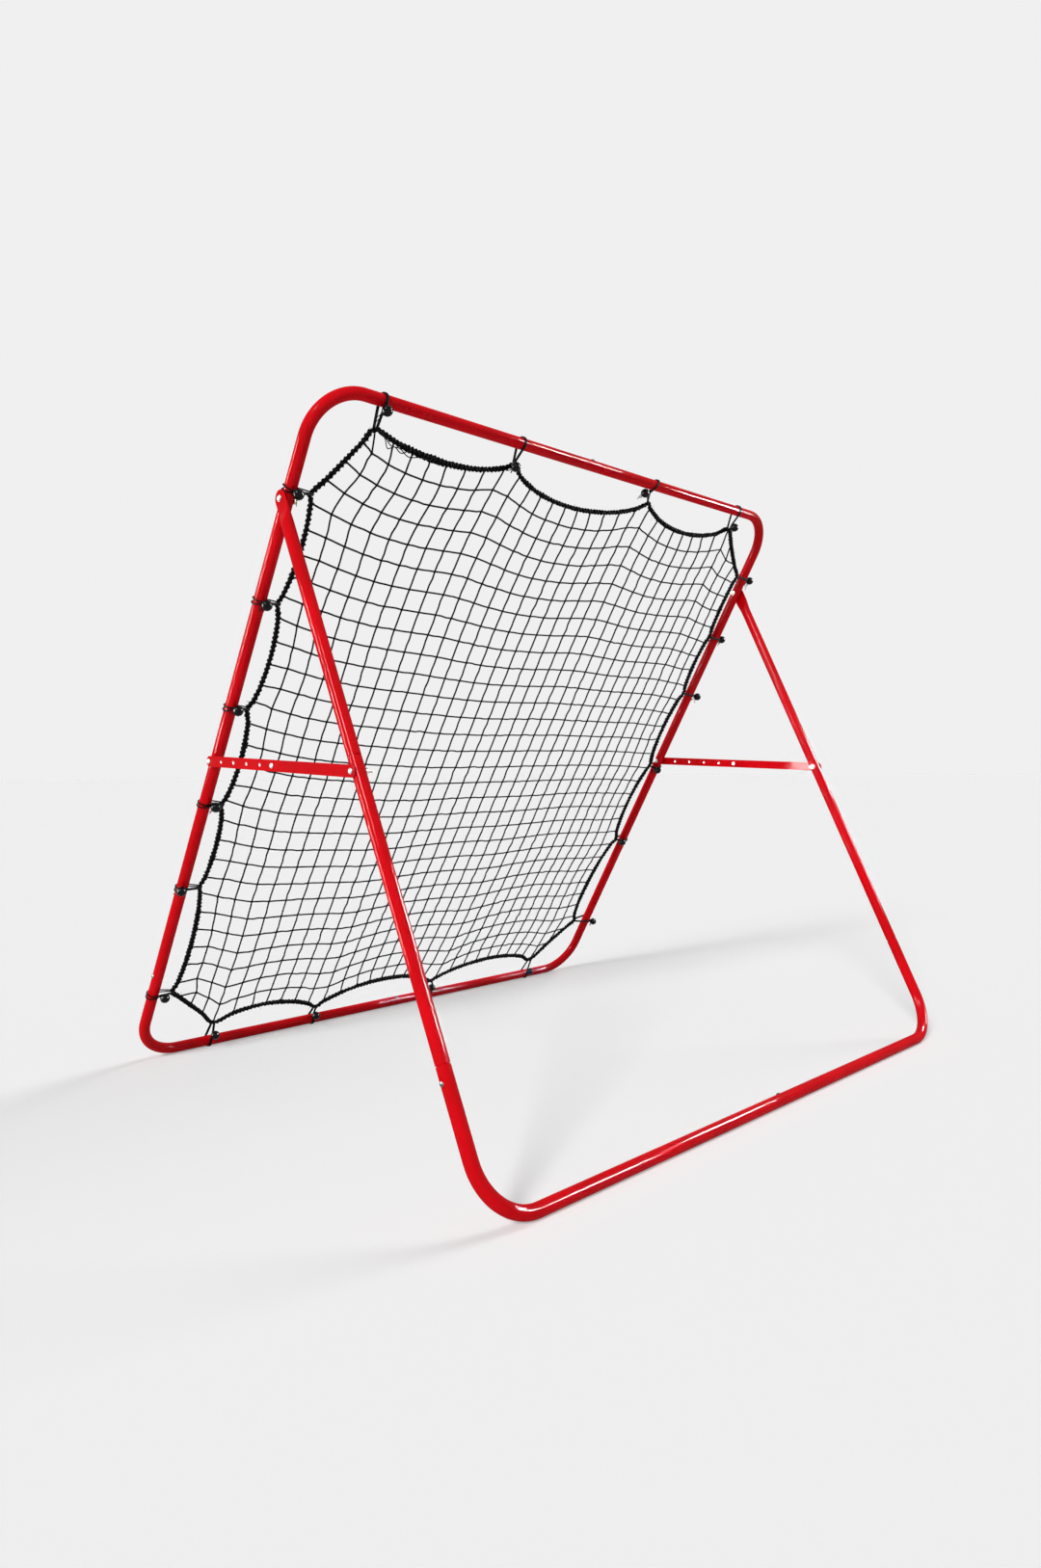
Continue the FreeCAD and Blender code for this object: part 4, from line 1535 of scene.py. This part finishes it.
@dataclass
class Bungees:
    """Twenty doubled elastic loops, each hooked over its ball."""

    bench: Bench
    rigging: Rigging
    plane: FlatFrame
    finishes: Finishes
    spread: dict[Side, float] = field(default_factory=lambda: {
        Side.LEFT: 0.0045, Side.RIGHT: 0.0026, Side.TOP: 0.0017, Side.BOTTOM: 0.0022})
    spread_uneven: tuple[float, float] = (0.9, 1.15)
    pinch: float = 0.0016
    drawn: float = 0.9
    end_r: float = 0.0007
    end_count: int = 5
    end_way: tuple[tuple[float, float], ...] = ((-0.5, 0.5), (-1.0, -0.5), (-0.5, 0.1))
    end_curl: float = 0.002
    end_reach: tuple[float, float] = (0.006, 0.014)
    end_root: float = 0.5
    end_bend: float = 1.2
    rope_steps: int = 12
    back_steps: int = 3
    tube_steps: int = 26
    front_steps: int = 9
    ball_mouth: float = 0.0032
    ball_seam: float = 0.00015
    ball_hole: tuple[float, float, float] = (0.8, 0.5, 0.45)
    ball_rings: int = 26
    ball_faces: int = 36
    ball_lean: float = 0.3

    def course(self, loop: Loop) -> tuple[np.ndarray, int]:
        """The band's middle line round the rope and the tube, in steps inwards and to the front.

        Args:
            loop: the loop and its ball.

        Returns:
            The closed line, and which of its points is nearest to the ball.
        """
        rig = self.rigging
        near = rig.sizes.tube_r + rig.gap + rig.elastic_r
        far = rig.rope_r + rig.elastic_r
        slope = math.asin((near - far) / loop.reach)
        turn = np.linspace(slope, math.pi - slope, self.rope_steps)
        rope = np.stack([loop.reach + far * np.sin(turn), far * np.cos(turn)], axis=1)
        turn = np.linspace(math.pi - slope, 2 * math.pi + slope, self.tube_steps)
        tube = np.stack([near * np.sin(turn), near * np.cos(turn)], axis=1)
        back = np.linspace(rope[-1], tube[0], self.back_steps + 2)[1:-1]
        front = np.linspace(tube[-1], rope[0], self.front_steps + 2)[1:-1]
        line = np.vstack([rope, back, tube, front])
        ball = np.array([loop.ball_inwards, rig.ball_front(loop)])
        return line, int(np.argmin(np.linalg.norm(line - ball, axis=1)))

    def strands(self, loop: Loop, chance: random.Random) -> list[np.ndarray]:
        """The loop's two strands, spread behind the tube and pinched together at the rope and the ball.

        Args:
            loop: the loop and its ball.
            chance: where the unevenness comes from.

        Returns:
            The points of both closed strands.
        """
        line, hook = self.course(loop)
        steps = np.linalg.norm(line - np.roll(line, 1, axis=0), axis=1)
        total = steps.sum()
        run = np.cumsum(steps) - steps[0]
        rope = run[self.rope_steps // 2]
        outboard = run[self.rope_steps + self.back_steps + self.tube_steps // 2]
        wide = self.spread[loop.side] * chance.uniform(*self.spread_uneven)
        keys = sorted({rope: (0.0, self.pinch), outboard: (0.0, wide),
                       run[hook]: (loop.ball_along * self.drawn, self.pinch)}.items())
        at = [key for key, _ in keys]
        shift = np.interp(run, at, [value[0] for _, value in keys], period=total)
        half = np.interp(run, at, [value[1] for _, value in keys], period=total)
        strands = []
        for sign in (-1, 1):
            along = shift + sign * half
            points = [self.rigging.flat(loop, move, *step) for move, step in zip(along, line)]
            strands.append(np.array([tuple(point) for point in points]))
        return strands

    def ends(self, loop: Loop, chance: random.Random) -> list[np.ndarray]:
        """Short frayed ends of the knot behind the ball.

        Args:
            loop: the loop and its ball.
            chance: where the unevenness comes from.

        Returns:
            The points of each end.
        """
        rig = self.rigging
        front = rig.ball_front(loop) - rig.ball_r * self.end_root
        ends = []
        for _ in range(self.end_count):
            way = np.array([chance.uniform(*limits) for limits in self.end_way])
            curl = np.array([chance.gauss(0, self.end_curl) for _ in range(3)])
            start = np.array(rig.flat(loop, loop.ball_along, loop.ball_inwards, front))
            middle = start + way * rig.ball_r * self.end_bend
            ends.append(np.array([start, middle, middle + way * chance.uniform(*self.end_reach) + curl]))
        return ends

    def make(self) -> None:
        """Models the loops and balls of every side."""
        first = self.ball()
        for side in Side:
            chance = random.Random(side.value)
            loops = [loop for loop in LOOPS if loop.side is side]
            paths = [strand for loop in loops for strand in self.strands(loop, chance)]
            name = f"looks_{side.value}_elastic_loops"
            bands = self.bench.cords(name, paths, self.rigging.elastic_r, sides=10, closed=True)
            ends = [end for loop in loops for end in self.ends(loop, chance)]
            target = self.bench.joined(name, [bands, self.bench.cords("elastic_ends", ends, self.end_r)])
            self.bench.placed(target, self.plane.matrix)
            self.stand(target)
            self.bench.smooth(target, 80)
            self.bench.finished(target, self.finishes.elastic, "net_frame", "black_elastic",
                                f"{side.value}_elastic_loops")
            balls = []
            for loop in loops:
                copy = self.bench.copy(first, "ball")
                about_x, about_y = (chance.uniform(-self.ball_lean, self.ball_lean) for _ in range(2))
                lean = Matrix.Rotation(about_x, 4, "X") @ Matrix.Rotation(about_y, 4, "Y")
                place = Matrix.Translation(self.rigging.ball(loop)) @ lean
                self.bench.placed(copy, self.plane.matrix @ place)
                balls.append(copy)
            joined = self.bench.joined(f"looks_{side.value}_balls", balls)
            self.bench.smooth(joined, 40)
            self.bench.finished(joined, self.finishes.ball, "net_frame", "black_ball", f"{side.value}_balls")
        bpy.data.objects.remove(first)

    def stand(self, bands: bpy.types.Object) -> None:
        """Flattens what would go through the ground, where the frame stands on its bottom loops.

        Args:
            bands: the loops of one side.
        """
        ground = self.rigging.gap
        with self.bench.editing(bands):
            self.bench.pick(bands, lambda co: co.z < ground)
            bpy.ops.transform.resize(value=(1, 1, 0), center_override=(0, 0, ground))

    def ball(self) -> bpy.types.Object:
        """Moulded ball with a seam round it and a hole for the elastic at the back.

        Returns:
            The ball, on the origin.
        """
        outer, mouth, seam, steps = self.rigging.ball_r, self.ball_mouth, self.ball_seam, self.ball_rings
        narrow, wall, floor = self.ball_hole
        start = math.asin(mouth / outer)
        profile = [(0.0, -outer * floor), (mouth * narrow, -outer * wall)]
        for index in range(steps + 1):
            angle = start + (math.pi - start) * index / steps
            radius = outer if index == steps // 2 else outer - seam
            profile.append((radius * math.sin(angle), -radius * math.cos(angle)))
        return self.bench.turned("ball", profile[::-1], self.ball_faces)


# Net


@dataclass
class Weave:
    """The net pulled into shape by its loops: knots, twines and the border rope's course.

    Attributes:
        rigging: where the loops hold the rope.
        pitch: one mesh, in metres.
        first: the place of the knot at grid place 0, 0.
        last: the grid place of the last knot on each side.
        slack: how long a twine is between two knots before it is stretched.
        stretch: how hard a stretched twine or rope pulls, for each metre.
        rope_slack: how much longer the rope is than the net's edge.
        knot_pull: how hard every twine pulls.
        weight: how hard each knot is pushed to the front.
        steps: how often the knots are moved.
        push: how far a pull moves a knot in one step.
        kept: how much of its motion a knot keeps.
        stride: how much of its motion it makes in one step.
    """

    rigging: Rigging
    pitch: float = 0.0465
    first: tuple[float, float] = (-0.697, 0.095)
    last: int = 30
    slack: float = 0.044
    stretch: float = 300.0
    rope_slack: float = 1.10
    knot_pull: float = 0.15
    weight: float = 0.004
    steps: int = 4000
    push: float = 0.35 * MM
    kept: float = 0.97
    stride: float = 0.35

    def nominal(self, place: tuple[float, float]) -> tuple[float, float, float]:
        """Where a grid place would be in an unstretched net."""
        return (self.first[0] + self.pitch * place[0], self.first[1] + self.pitch * place[1], 0.0)

    def border(self) -> list[tuple[float, float]]:
        """Knots along the border rope: up the left, over the top, down the right, back along the bottom.

        Returns:
            Their grid places.
        """
        end = self.last
        left = [(0, row) for row in range(1, end)]
        top = [(column, end) for column in range(1, end - 1)] + [(end - 1, end - 1)]
        right = [(end, row) for row in range(end - 2, 1, -1)] + [(end - 1, 1)]
        bottom = [(column, 0) for column in range(end - 2, 0, -1)]
        return left + top + right + bottom

    def grips(self) -> dict[tuple[float, float], Vector]:
        """Grid places where the loops grip the rope, with the points they hold.

        Returns:
            Grid place to flat point.
        """
        held = {}
        for loop in LOOPS:
            # The rope cuts the corners on the right, so the top right loop grips it half a mesh further in.
            across = self.last - 0.5 if loop.mesh > self.last - 2 and loop.side is Side.RIGHT else self.last
            place = {Side.LEFT: (0, loop.mesh), Side.RIGHT: (across, loop.mesh),
                     Side.TOP: (loop.mesh, self.last), Side.BOTTOM: (loop.mesh, 0)}[loop.side]
            held[place] = self.rigging.flat(loop, 0.0, loop.reach, 0.0)
        return held

    def course(self) -> list[tuple[float, float]]:
        """The border rope's knots and grips in order.

        Returns:
            Their grid places.
        """
        path = list(self.border())
        for grip in self.grips():
            if grip in path:
                continue
            gaps = [math.dist(path[index], grip) + math.dist(path[(index + 1) % len(path)], grip)
                    for index in range(len(path))]
            path.insert(gaps.index(min(gaps)) + 1, grip)
        return path

    def present(self) -> set[tuple[float, float]]:
        """Every knot of the net."""
        inner = range(1, self.last)
        return {(column, row) for column in inner for row in inner} | set(self.border())

    def twines(self) -> list[tuple]:
        """Pairs of neighbouring knots with twine between them.

        Returns:
            Both grid places of each pair.
        """
        present = self.present()
        border = set(self.border())
        pairs = []
        for column, row in sorted(present):
            for other in ((column + 1, row), (column, row + 1)):
                along_rope = (column, row) in border and other in border and (
                    column == other[0] in (0, self.last) or row == other[1] in (0, self.last))
                if other in present and not along_rope:
                    pairs.append(((column, row), other))
        return pairs

    def pulls(self, course: Sequence[tuple[float, float]]) -> np.ndarray:
        """Tension in each length of the rope, which the loop behind it sets.

        Args:
            course: the rope's knots and grips.

        Returns:
            The tension from each of them to the next.
        """
        held = {place: loop.pull for place, loop in zip(self.grips(), LOOPS)}
        pull = next(held[place] for place in reversed(course) if place in held)
        pulls = []
        for place in course:
            pull = held.get(place, pull)
            pulls.append(pull)
        return np.array(pulls)

    def relaxed(self) -> dict[tuple[float, float], np.ndarray]:
        """Lets the net settle between its loops.

        Returns:
            Grid place to flat point.
        """
        course = self.course()
        places = sorted(self.present() | set(course))
        number = {place: index for index, place in enumerate(places)}
        at = np.array([self.nominal(place) for place in places])
        grips = self.grips()
        for place, point in grips.items():
            at[number[place]] = point
        free = np.array([place not in grips for place in places])
        twines = [(number[a], number[b]) for a, b in self.twines()]
        lengths = list(zip(course, course[1:] + course[:1]))
        ropes = [(number[a], number[b]) for a, b in lengths]
        pull = self.pulls(course)
        ends = np.array(twines + ropes)
        laid = np.array([math.dist(a, b) for a, b in lengths]) * self.pitch * self.rope_slack
        is_rope = np.arange(len(ends)) >= len(twines)
        motion = np.zeros_like(at)
        for _ in range(self.steps):
            span = at[ends[:, 1]] - at[ends[:, 0]]
            length = np.linalg.norm(span, axis=1)
            force = self.knot_pull + np.maximum(0.0, self.stretch * (length - self.slack))
            force[is_rope] = pull + np.maximum(0.0, self.stretch * (length[is_rope] - laid))
            vectors = span * (force / length)[:, None]
            total = np.zeros_like(at)
            np.add.at(total, ends[:, 0], vectors)
            np.add.at(total, ends[:, 1], -vectors)
            total[:, 2] += self.weight
            motion = (motion + self.push * total) * self.kept
            motion[~free] = 0.0
            at = at + self.stride * motion
        return {place: at[index] for place, index in number.items()}


@dataclass
class Net:
    """Knotted twine net with its border rope."""

    bench: Bench
    weave: Weave
    plane: FlatFrame
    finishes: Finishes
    seed: int = 7
    twine_r: float = 0.0020
    twine_play: tuple[float, float, float] = (0.0005, 0.0005, 0.0007)
    twine_marks: tuple[float, float] = (0.33, 0.67)
    knot_r: float = 0.0033
    knot_shape: tuple[float, float, float] = (1.15, 0.9, 0.85)
    knot_turn: float = 0.4
    rope_step: float = 0.003
    rope_fine: int = 16
    rope_core_r: float = 0.0042
    rope_uneven: tuple[float, float] = (0.88, 1.14)
    rope_beat: int = 9
    rope_pinch: float = 0.008
    rope_pinched: float = 0.3
    doubled_at: tuple[float, float, float] = (-0.44, 1.50, 0.0)
    doubled_reach: float = 0.12
    doubled_bulk: float = 0.35
    wrap_r: float = 0.0014
    wrap_turn: float = 0.010
    wrap_samples: int = 7
    wrap_uneven: tuple[float, float] = (0.88, 1.2)
    wrap_proud: float = 0.4
    wrap_ahead: int = 3
    fibre_r: float = 0.0003
    fibre_count: int = 420
    fibre_reach: tuple[float, float] = (0.005, 0.011)
    fibre_bend: float = 0.6
    fibre_curl: float = 0.25
    spare_twines: tuple[tuple[float, float], ...] = ((0.16, 0.011), (0.10, 0.015))
    spare_girth: float = 0.8
    spare_beat: tuple[float, float, float] = (0.35, 17, 900)
    spare_sway: tuple[float, float] = (9, 0.003)

    def make(self) -> None:
        """Settles the net and models its twine, knots, rope and loose fibres."""
        settled = self.weave.relaxed()
        chance = random.Random(self.seed)
        twine = self.twine(settled, chance)
        knots = self.knots(settled, chance)
        target = self.bench.joined("looks_net", [twine, knots])
        self.bench.placed(target, self.plane.matrix)
        self.bench.smooth(target, 80)
        self.bench.finished(target, self.finishes.twine, "net_frame", "black_twine", "net")
        self.rope(settled, chance)

    def lines(self) -> list[list[tuple]]:
        """Grid places along each twine, up and across.

        Returns:
            The grid places of each twine.
        """
        present = self.weave.present()
        last = self.weave.last
        lines = []
        for fixed in range(1, last):
            up = [(fixed, row) for row in range(last + 1)]
            across = [(column, fixed) for column in range(last + 1)]
            lines += [[place for place in places if place in present] for places in (up, across)]
        return lines

    def twine(self, settled: dict, chance: random.Random) -> bpy.types.Object:
        """Twines with a little play between the knots.

        Args:
            settled: grid place to flat point.
            chance: where the unevenness comes from.

        Returns:
            All twines as one object.
        """
        paths = []
        for line in self.lines():
            points = [settled[line[0]]]
            for before, after in zip(line, line[1:]):
                start, end = settled[before], settled[after]
                for share in self.twine_marks:
                    play = np.array([chance.gauss(0, spread) for spread in self.twine_play])
                    points.append(start + (end - start) * share + play)
                points.append(end)
            paths.append(np.array(points))
        return self.bench.cords("twine", paths, self.twine_r)

    def knots(self, settled: dict, chance: random.Random) -> bpy.types.Object:
        """One small knot, copied to every crossing.

        Args:
            settled: grid place to flat point.
            chance: where the unevenness comes from.

        Returns:
            All knots as one object.
        """
        first = self.bench.start("knot", bpy.ops.mesh.primitive_uv_sphere_add, segments=7, ring_count=5,
                                 radius=self.knot_r)
        bpy.ops.transform.resize(value=self.knot_shape)
        self.bench.settle()
        copies = []
        for place in sorted(self.weave.present() - set(self.weave.border())):
            copy = self.bench.copy(first, "knot")
            angle = math.pi / 4 + chance.uniform(-self.knot_turn, self.knot_turn)
            turn = Matrix.Rotation(angle, 4, "Z")
            copy.data.transform(Matrix.Translation(Vector(settled[place])) @ turn)
            copies.append(copy)
        bpy.data.objects.remove(first)
        return self.bench.joined("knots", copies)

    def rope_line(self, settled: dict) -> np.ndarray:
        """The rope's centreline, smooth and evenly divided.

        Args:
            settled: grid place to flat point.

        Returns:
            Its points.
        """
        course = np.array([settled[place] for place in self.weave.course()])
        before, after, beyond = np.roll(course, 1, 0), np.roll(course, -1, 0), np.roll(course, -2, 0)
        parts = []
        for share in np.linspace(0, 1, self.rope_fine, endpoint=False):
            parts.append(0.5 * ((2 * course) + (after - before) * share
                                + (2 * before - 5 * course + 4 * after - beyond) * share ** 2
                                + (3 * course - before - 3 * after + beyond) * share ** 3))
        fine = np.stack(parts, axis=1).reshape(-1, 3)
        closed = np.vstack([fine, fine[:1]])
        run = np.concatenate([[0.0], np.cumsum(np.linalg.norm(np.diff(closed, axis=0), axis=1))])
        marks = np.linspace(0, run[-1], int(run[-1] / self.rope_step), endpoint=False)
        return np.stack([np.interp(marks, run, closed[:, axis]) for axis in range(3)], axis=1)

    def rope(self, settled: dict, chance: random.Random) -> None:
        """Border rope: a soft core with twine wound over it both ways, and loose fibres.

        Args:
            settled: grid place to flat point.
            chance: where the unevenness comes from.
        """
        line = self.rope_line(settled)
        girth = self.girth(line, chance)
        core = self.bench.cords("rope_core", [line], self.rope_core_r, sides=8, closed=True, girths=[girth])
        wraps = []
        for hand in (-1, 1):
            wound = self.wound(line, girth, hand, chance)
            wraps.append(self.bench.cords("rope_wrap", [wound], self.wrap_r, sides=4, closed=True))
        hairs = self.bench.cords("rope_fibres", self.fibres(line, chance), self.fibre_r, sides=4)
        spare = self.bench.cords("spare_twine", self.spare(line), self.wrap_r * self.spare_girth)
        target = self.bench.joined("looks_border_rope", [core, *wraps, hairs, spare])
        self.bench.placed(target, self.plane.matrix)
        self.bench.smooth(target, 80)
        self.bench.finished(target, self.finishes.rope, "net_frame", "black_twine", "border_rope")

    def girth(self, line: np.ndarray, chance: random.Random) -> np.ndarray:
        """How thick the rope is: uneven, pinched in the loops, and bulky where it is doubled.

        Args:
            line: the rope's centreline.
            chance: where the unevenness comes from.

        Returns:
            Its share of the plain thickness at each point.
        """
        count = len(line)
        beats = np.array([chance.uniform(*self.rope_uneven) for _ in range(count // self.rope_beat)])
        girth = np.interp(np.arange(count), np.linspace(0, count, len(beats)), beats)
        for point in self.weave.grips().values():
            away = np.linalg.norm(line - np.array(point), axis=1)
            girth *= 1 - self.rope_pinched * np.exp(-(away / self.rope_pinch) ** 2)
        away = np.linalg.norm(line - np.array(self.doubled_at), axis=1)
        return girth * (1 + self.doubled_bulk * np.exp(-(away / self.doubled_reach) ** 2))

    def wound(self, line: np.ndarray, girth: np.ndarray, hand: int, chance: random.Random) -> np.ndarray:
        """A twine wound round the rope's core.

        Args:
            line: the rope's centreline.
            girth: how thick the rope is at each of its points.
            hand: 1 or -1, for the two ways round.
            chance: where its unevenness comes from.

        Returns:
            The twine's closed course.
        """
        count = len(line)
        run = np.linalg.norm(line - np.roll(line, 1, 0), axis=1).sum()
        turns = round(run / self.wrap_turn)
        samples = turns * self.wrap_samples
        at = np.arange(samples) / samples * count
        centre = np.stack([np.interp(at, np.arange(count + 1), np.append(line[:, axis], line[0, axis]))
                           for axis in range(3)], axis=1)
        ahead = np.roll(centre, -self.wrap_ahead, 0) - np.roll(centre, self.wrap_ahead, 0)
        ahead /= np.linalg.norm(ahead, axis=1)[:, None]
        front = np.array([[0.0, 0.0, 1.0]])
        square = np.cross(front, ahead)
        angle = hand * 2 * math.pi * turns * np.arange(samples) / samples
        wobble = np.array([chance.uniform(*self.wrap_uneven) for _ in range(samples)])
        plain = self.rope_core_r + self.wrap_r * self.wrap_proud
        radius = plain * wobble * np.interp(at, np.arange(count), girth)
        return centre + square * (radius * np.cos(angle))[:, None] + front * (radius * np.sin(angle))[:, None]

    def spare(self, line: np.ndarray) -> list[np.ndarray]:
        """Loose twines that hang along the rope beside the top left loop.

        Args:
            line: the rope's centreline.

        Returns:
            The points of each twine.
        """
        loop = next(loop for loop in LOOPS if loop.side is Side.TOP)
        start = np.array(self.weave.rigging.flat(loop, 0.0, loop.reach, 0.0))
        first = int(np.argmin(np.linalg.norm(line - start, axis=1)))
        uneven, beats, shift = self.spare_beat
        waves, sway = self.spare_sway
        twines = []
        for reach, drop in self.spare_twines:
            count = int(reach / self.rope_step)
            stretch = np.array([line[(first + index) % len(line)] for index in range(count)])
            share = np.linspace(0, 1, count)
            wave = np.sin(share * math.pi) * drop * (1 + uneven * np.sin(share * beats + drop * shift))
            stretch[:, 1] -= wave
            stretch[:, 2] += np.sin(share * waves) * sway + self.rope_core_r
            twines.append(stretch)
        return twines

    def fibres(self, line: np.ndarray, chance: random.Random) -> list[np.ndarray]:
        """Short loose ends that stick out of the rope.

        Args:
            line: the rope's centreline.
            chance: where the unevenness comes from.

        Returns:
            The points of each end.
        """
        paths = []
        for _ in range(self.fibre_count):
            start = line[chance.randrange(len(line))]
            way = np.array([chance.gauss(0, 1) for _ in range(3)])
            way /= np.linalg.norm(way)
            length = chance.uniform(*self.fibre_reach)
            curl = np.array([chance.gauss(0, 1) for _ in range(3)]) * length * self.fibre_curl
            middle = start + way * length * self.fibre_bend
            paths.append(np.array([start, middle, start + way * length + curl]))
        return paths


# Setting


@dataclass(frozen=True)
class Viewpoint:
    """The camera that took the photo, as fitted to it."""

    place: tuple[float, float, float] = (-1.7667, -1.7023, 0.6974)
    yaw: float = 0.7808
    pitch: float = -0.0181
    roll: float = -0.0060
    lens: float = 22.98

    def make(self) -> None:
        """Adds the camera and makes it the scene's."""
        ahead = Vector((math.sin(self.yaw), math.cos(self.yaw), 0))
        forward = ahead * math.cos(self.pitch) + Vector((0, 0, 1)) * math.sin(self.pitch)
        level = Vector((math.cos(self.yaw), -math.sin(self.yaw), 0))
        upright = level.cross(forward)
        right = level * math.cos(self.roll) + upright * math.sin(self.roll)
        up = upright * math.cos(self.roll) - level * math.sin(self.roll)
        turn = Matrix((right, up, -forward)).transposed().to_4x4()
        camera = bpy.data.objects.new("camera", bpy.data.cameras.new("camera"))
        camera.data.lens = self.lens
        camera.matrix_world = Matrix.Translation(Vector(self.place)) @ turn
        bpy.context.scene.collection.objects.link(camera)
        bpy.context.scene.camera = camera


@dataclass(frozen=True)
class Sun:
    """A soft distant light.

    Attributes:
        strength: its strength square on.
        width: how wide it looks from the object, in radians.
        way: from the object to the light.
        plain: whether it lights surfaces.
        mirrored: whether gloss shows it.
    """

    strength: float
    width: float
    way: tuple[float, float, float]
    plain: bool = True
    mirrored: bool = True

    def make(self) -> None:
        """Adds the light."""
        data = bpy.data.lights.new("distant", "SUN")
        data.energy, data.angle = self.strength, self.width
        lamp = bpy.data.objects.new("distant", data)
        lamp.matrix_world = Vector(self.way).to_track_quat("Z", "Y").to_matrix().to_4x4()
        lamp.visible_diffuse = self.plain
        lamp.visible_glossy = self.mirrored
        bpy.context.scene.collection.objects.link(lamp)

    @property
    def on_floor(self) -> float:
        """How light it would make a white floor."""
        return self.strength * Vector(self.way).normalized().z / math.pi * self.plain


@dataclass(frozen=True)
class Panel:
    """A soft rectangular light that only draws a highlight on gloss.

    Attributes:
        name: the light's name.
        place: where it hangs.
        aim: what it points at.
        size: width and height in metres.
        power: in watts.
    """

    name: str
    place: tuple[float, float, float]
    aim: tuple[float, float, float]
    size: tuple[float, float]
    power: float

    def make(self) -> None:
        """Adds the light."""
        data = bpy.data.lights.new(self.name, "AREA")
        data.shape = "RECTANGLE"
        data.size, data.size_y = self.size
        data.energy = self.power
        lamp = bpy.data.objects.new(self.name, data)
        place = Vector(self.place)
        turn = (Vector(self.aim) - place).to_track_quat("-Z", "Y").to_matrix().to_4x4()
        lamp.matrix_world = Matrix.Translation(place) @ turn
        lamp.visible_diffuse = False
        lamp.visible_camera = False
        bpy.context.scene.collection.objects.link(lamp)


SUNS = (Sun(2.4, 0.22, (-0.80, -0.25, 0.55)),
        Sun(1.3, 0.40, (0.80, -0.10, 0.58), mirrored=False),
        Sun(4.4, 0.12, (0.70, -0.58, 0.41), plain=False))
PANELS = (Panel("left_edge", (-3.2, 1.6, 1.0), (-0.75, 0.1, 0.9), (0.35, 2.2), 290),
          Panel("right_line", (2.0, -1.3, 1.6), (-0.1, -0.6, 0.1), (0.4, 0.4), 190))


@dataclass
class Studio:
    """Pale floor, pale surroundings and soft lights.

    Attributes:
        bench: where the floor is made.
        backdrop: how light the surroundings are where they are seen or mirrored.
        glow: how much they light the object.
        floor_half: half the floor's width.
        floor_drop: how far the floor is under the object.
        floor_shade: the floor's own shade.
        floor_roughness: how matt it is.
        floor_level: how light the floor is where it is seen.
    """

    bench: Bench
    backdrop: float = 0.87
    glow: float = 0.14
    floor_half: float = 60.0
    floor_drop: float = 0.0002
    floor_shade: float = 0.65
    floor_roughness: float = 0.9
    floor_level: float = 0.86

    def seen(self, shader: Shader, hidden: float, shown: float) -> Socket:
        """One strength for what lights the object, another for what is seen or mirrored.

        Args:
            shader: the floor's or the surroundings' node tree.
            hidden: strength for every other ray.
            shown: strength for camera, glossy and transmission rays.

        Returns:
            The strength.
        """
        path = shader.node("ShaderNodeLightPath")
        rays = path.socket("Is Camera Ray") + path.socket("Is Glossy Ray")
        rays = rays + path.socket("Is Transmission Ray")
        inputs = {"Value": rays, "To Min": hidden, "To Max": shown}
        return shader.node("ShaderNodeMapRange", {"clamp": True}, inputs).socket("Result")

    def surroundings(self) -> bpy.types.World:
        """Pale all round where it is seen or mirrored, and a plain dimmer light elsewhere.

        Returns:
            The world.
        """
        world = bpy.data.worlds.new("surroundings")
        world.use_nodes = True
        shader = Shader.of(world.node_tree)
        strength = self.seen(shader, self.glow, self.backdrop)
        background = shader.node("ShaderNodeBackground", None, {"Color": (1, 1, 1, 1), "Strength": strength})
        shader.node("ShaderNodeOutputWorld", None, {"Surface": background.socket("Background")})
        return world

    def floor(self) -> None:
        """Pale floor that shows the shadows."""
        floor = self.bench.start("floor", bpy.ops.mesh.primitive_plane_add, size=2 * self.floor_half,
                                 location=(0, 0, -self.floor_drop))
        self.bench.settle()
        lit = (self.glow + sum(sun.on_floor for sun in SUNS)) * self.floor_shade
        shader = Shader("pale_floor")
        floor.data.materials.append(shader.surface(
            Base_Color=(self.floor_shade,) * 3, Roughness=self.floor_roughness, Specular_IOR_Level=0.0,
            Emission_Color=self.seen(shader, 0.0, self.floor_level - lit), Emission_Strength=1.0))

    def make(self) -> None:
        """Lays the floor and sets the lights."""
        scene = bpy.context.scene
        scene.view_settings.view_transform = "Standard"
        scene.world = self.surroundings()
        for lamp in SUNS + PANELS:
            lamp.make()
        self.floor()


def main() -> None:
    """Builds the rebounder and its setting."""
    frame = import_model()
    bench = Bench()
    sizes = Sizes()
    layout = Layout.read(frame, sizes)
    finishes = Finishes.mix_all()
    shop = TubeShop(bench, sizes)
    NetFrame(shop, layout.net_plane, finishes).make()
    LegFrame(shop, layout.leg_plane, finishes).make()
    fasteners = Fasteners(bench, finishes)
    Hardware(fasteners, layout).make()
    Stays(fasteners, layout).make()
    rigging = Rigging(sizes)
    Bungees(bench, rigging, layout.net_plane, finishes).make()
    Net(bench, Weave(rigging), layout.net_plane, finishes).make()
    Studio(bench).make()
    Viewpoint().make()


if __name__ == "__main__":
    logging.basicConfig(level=logging.INFO, format="%(name)s: %(message)s")
    main()
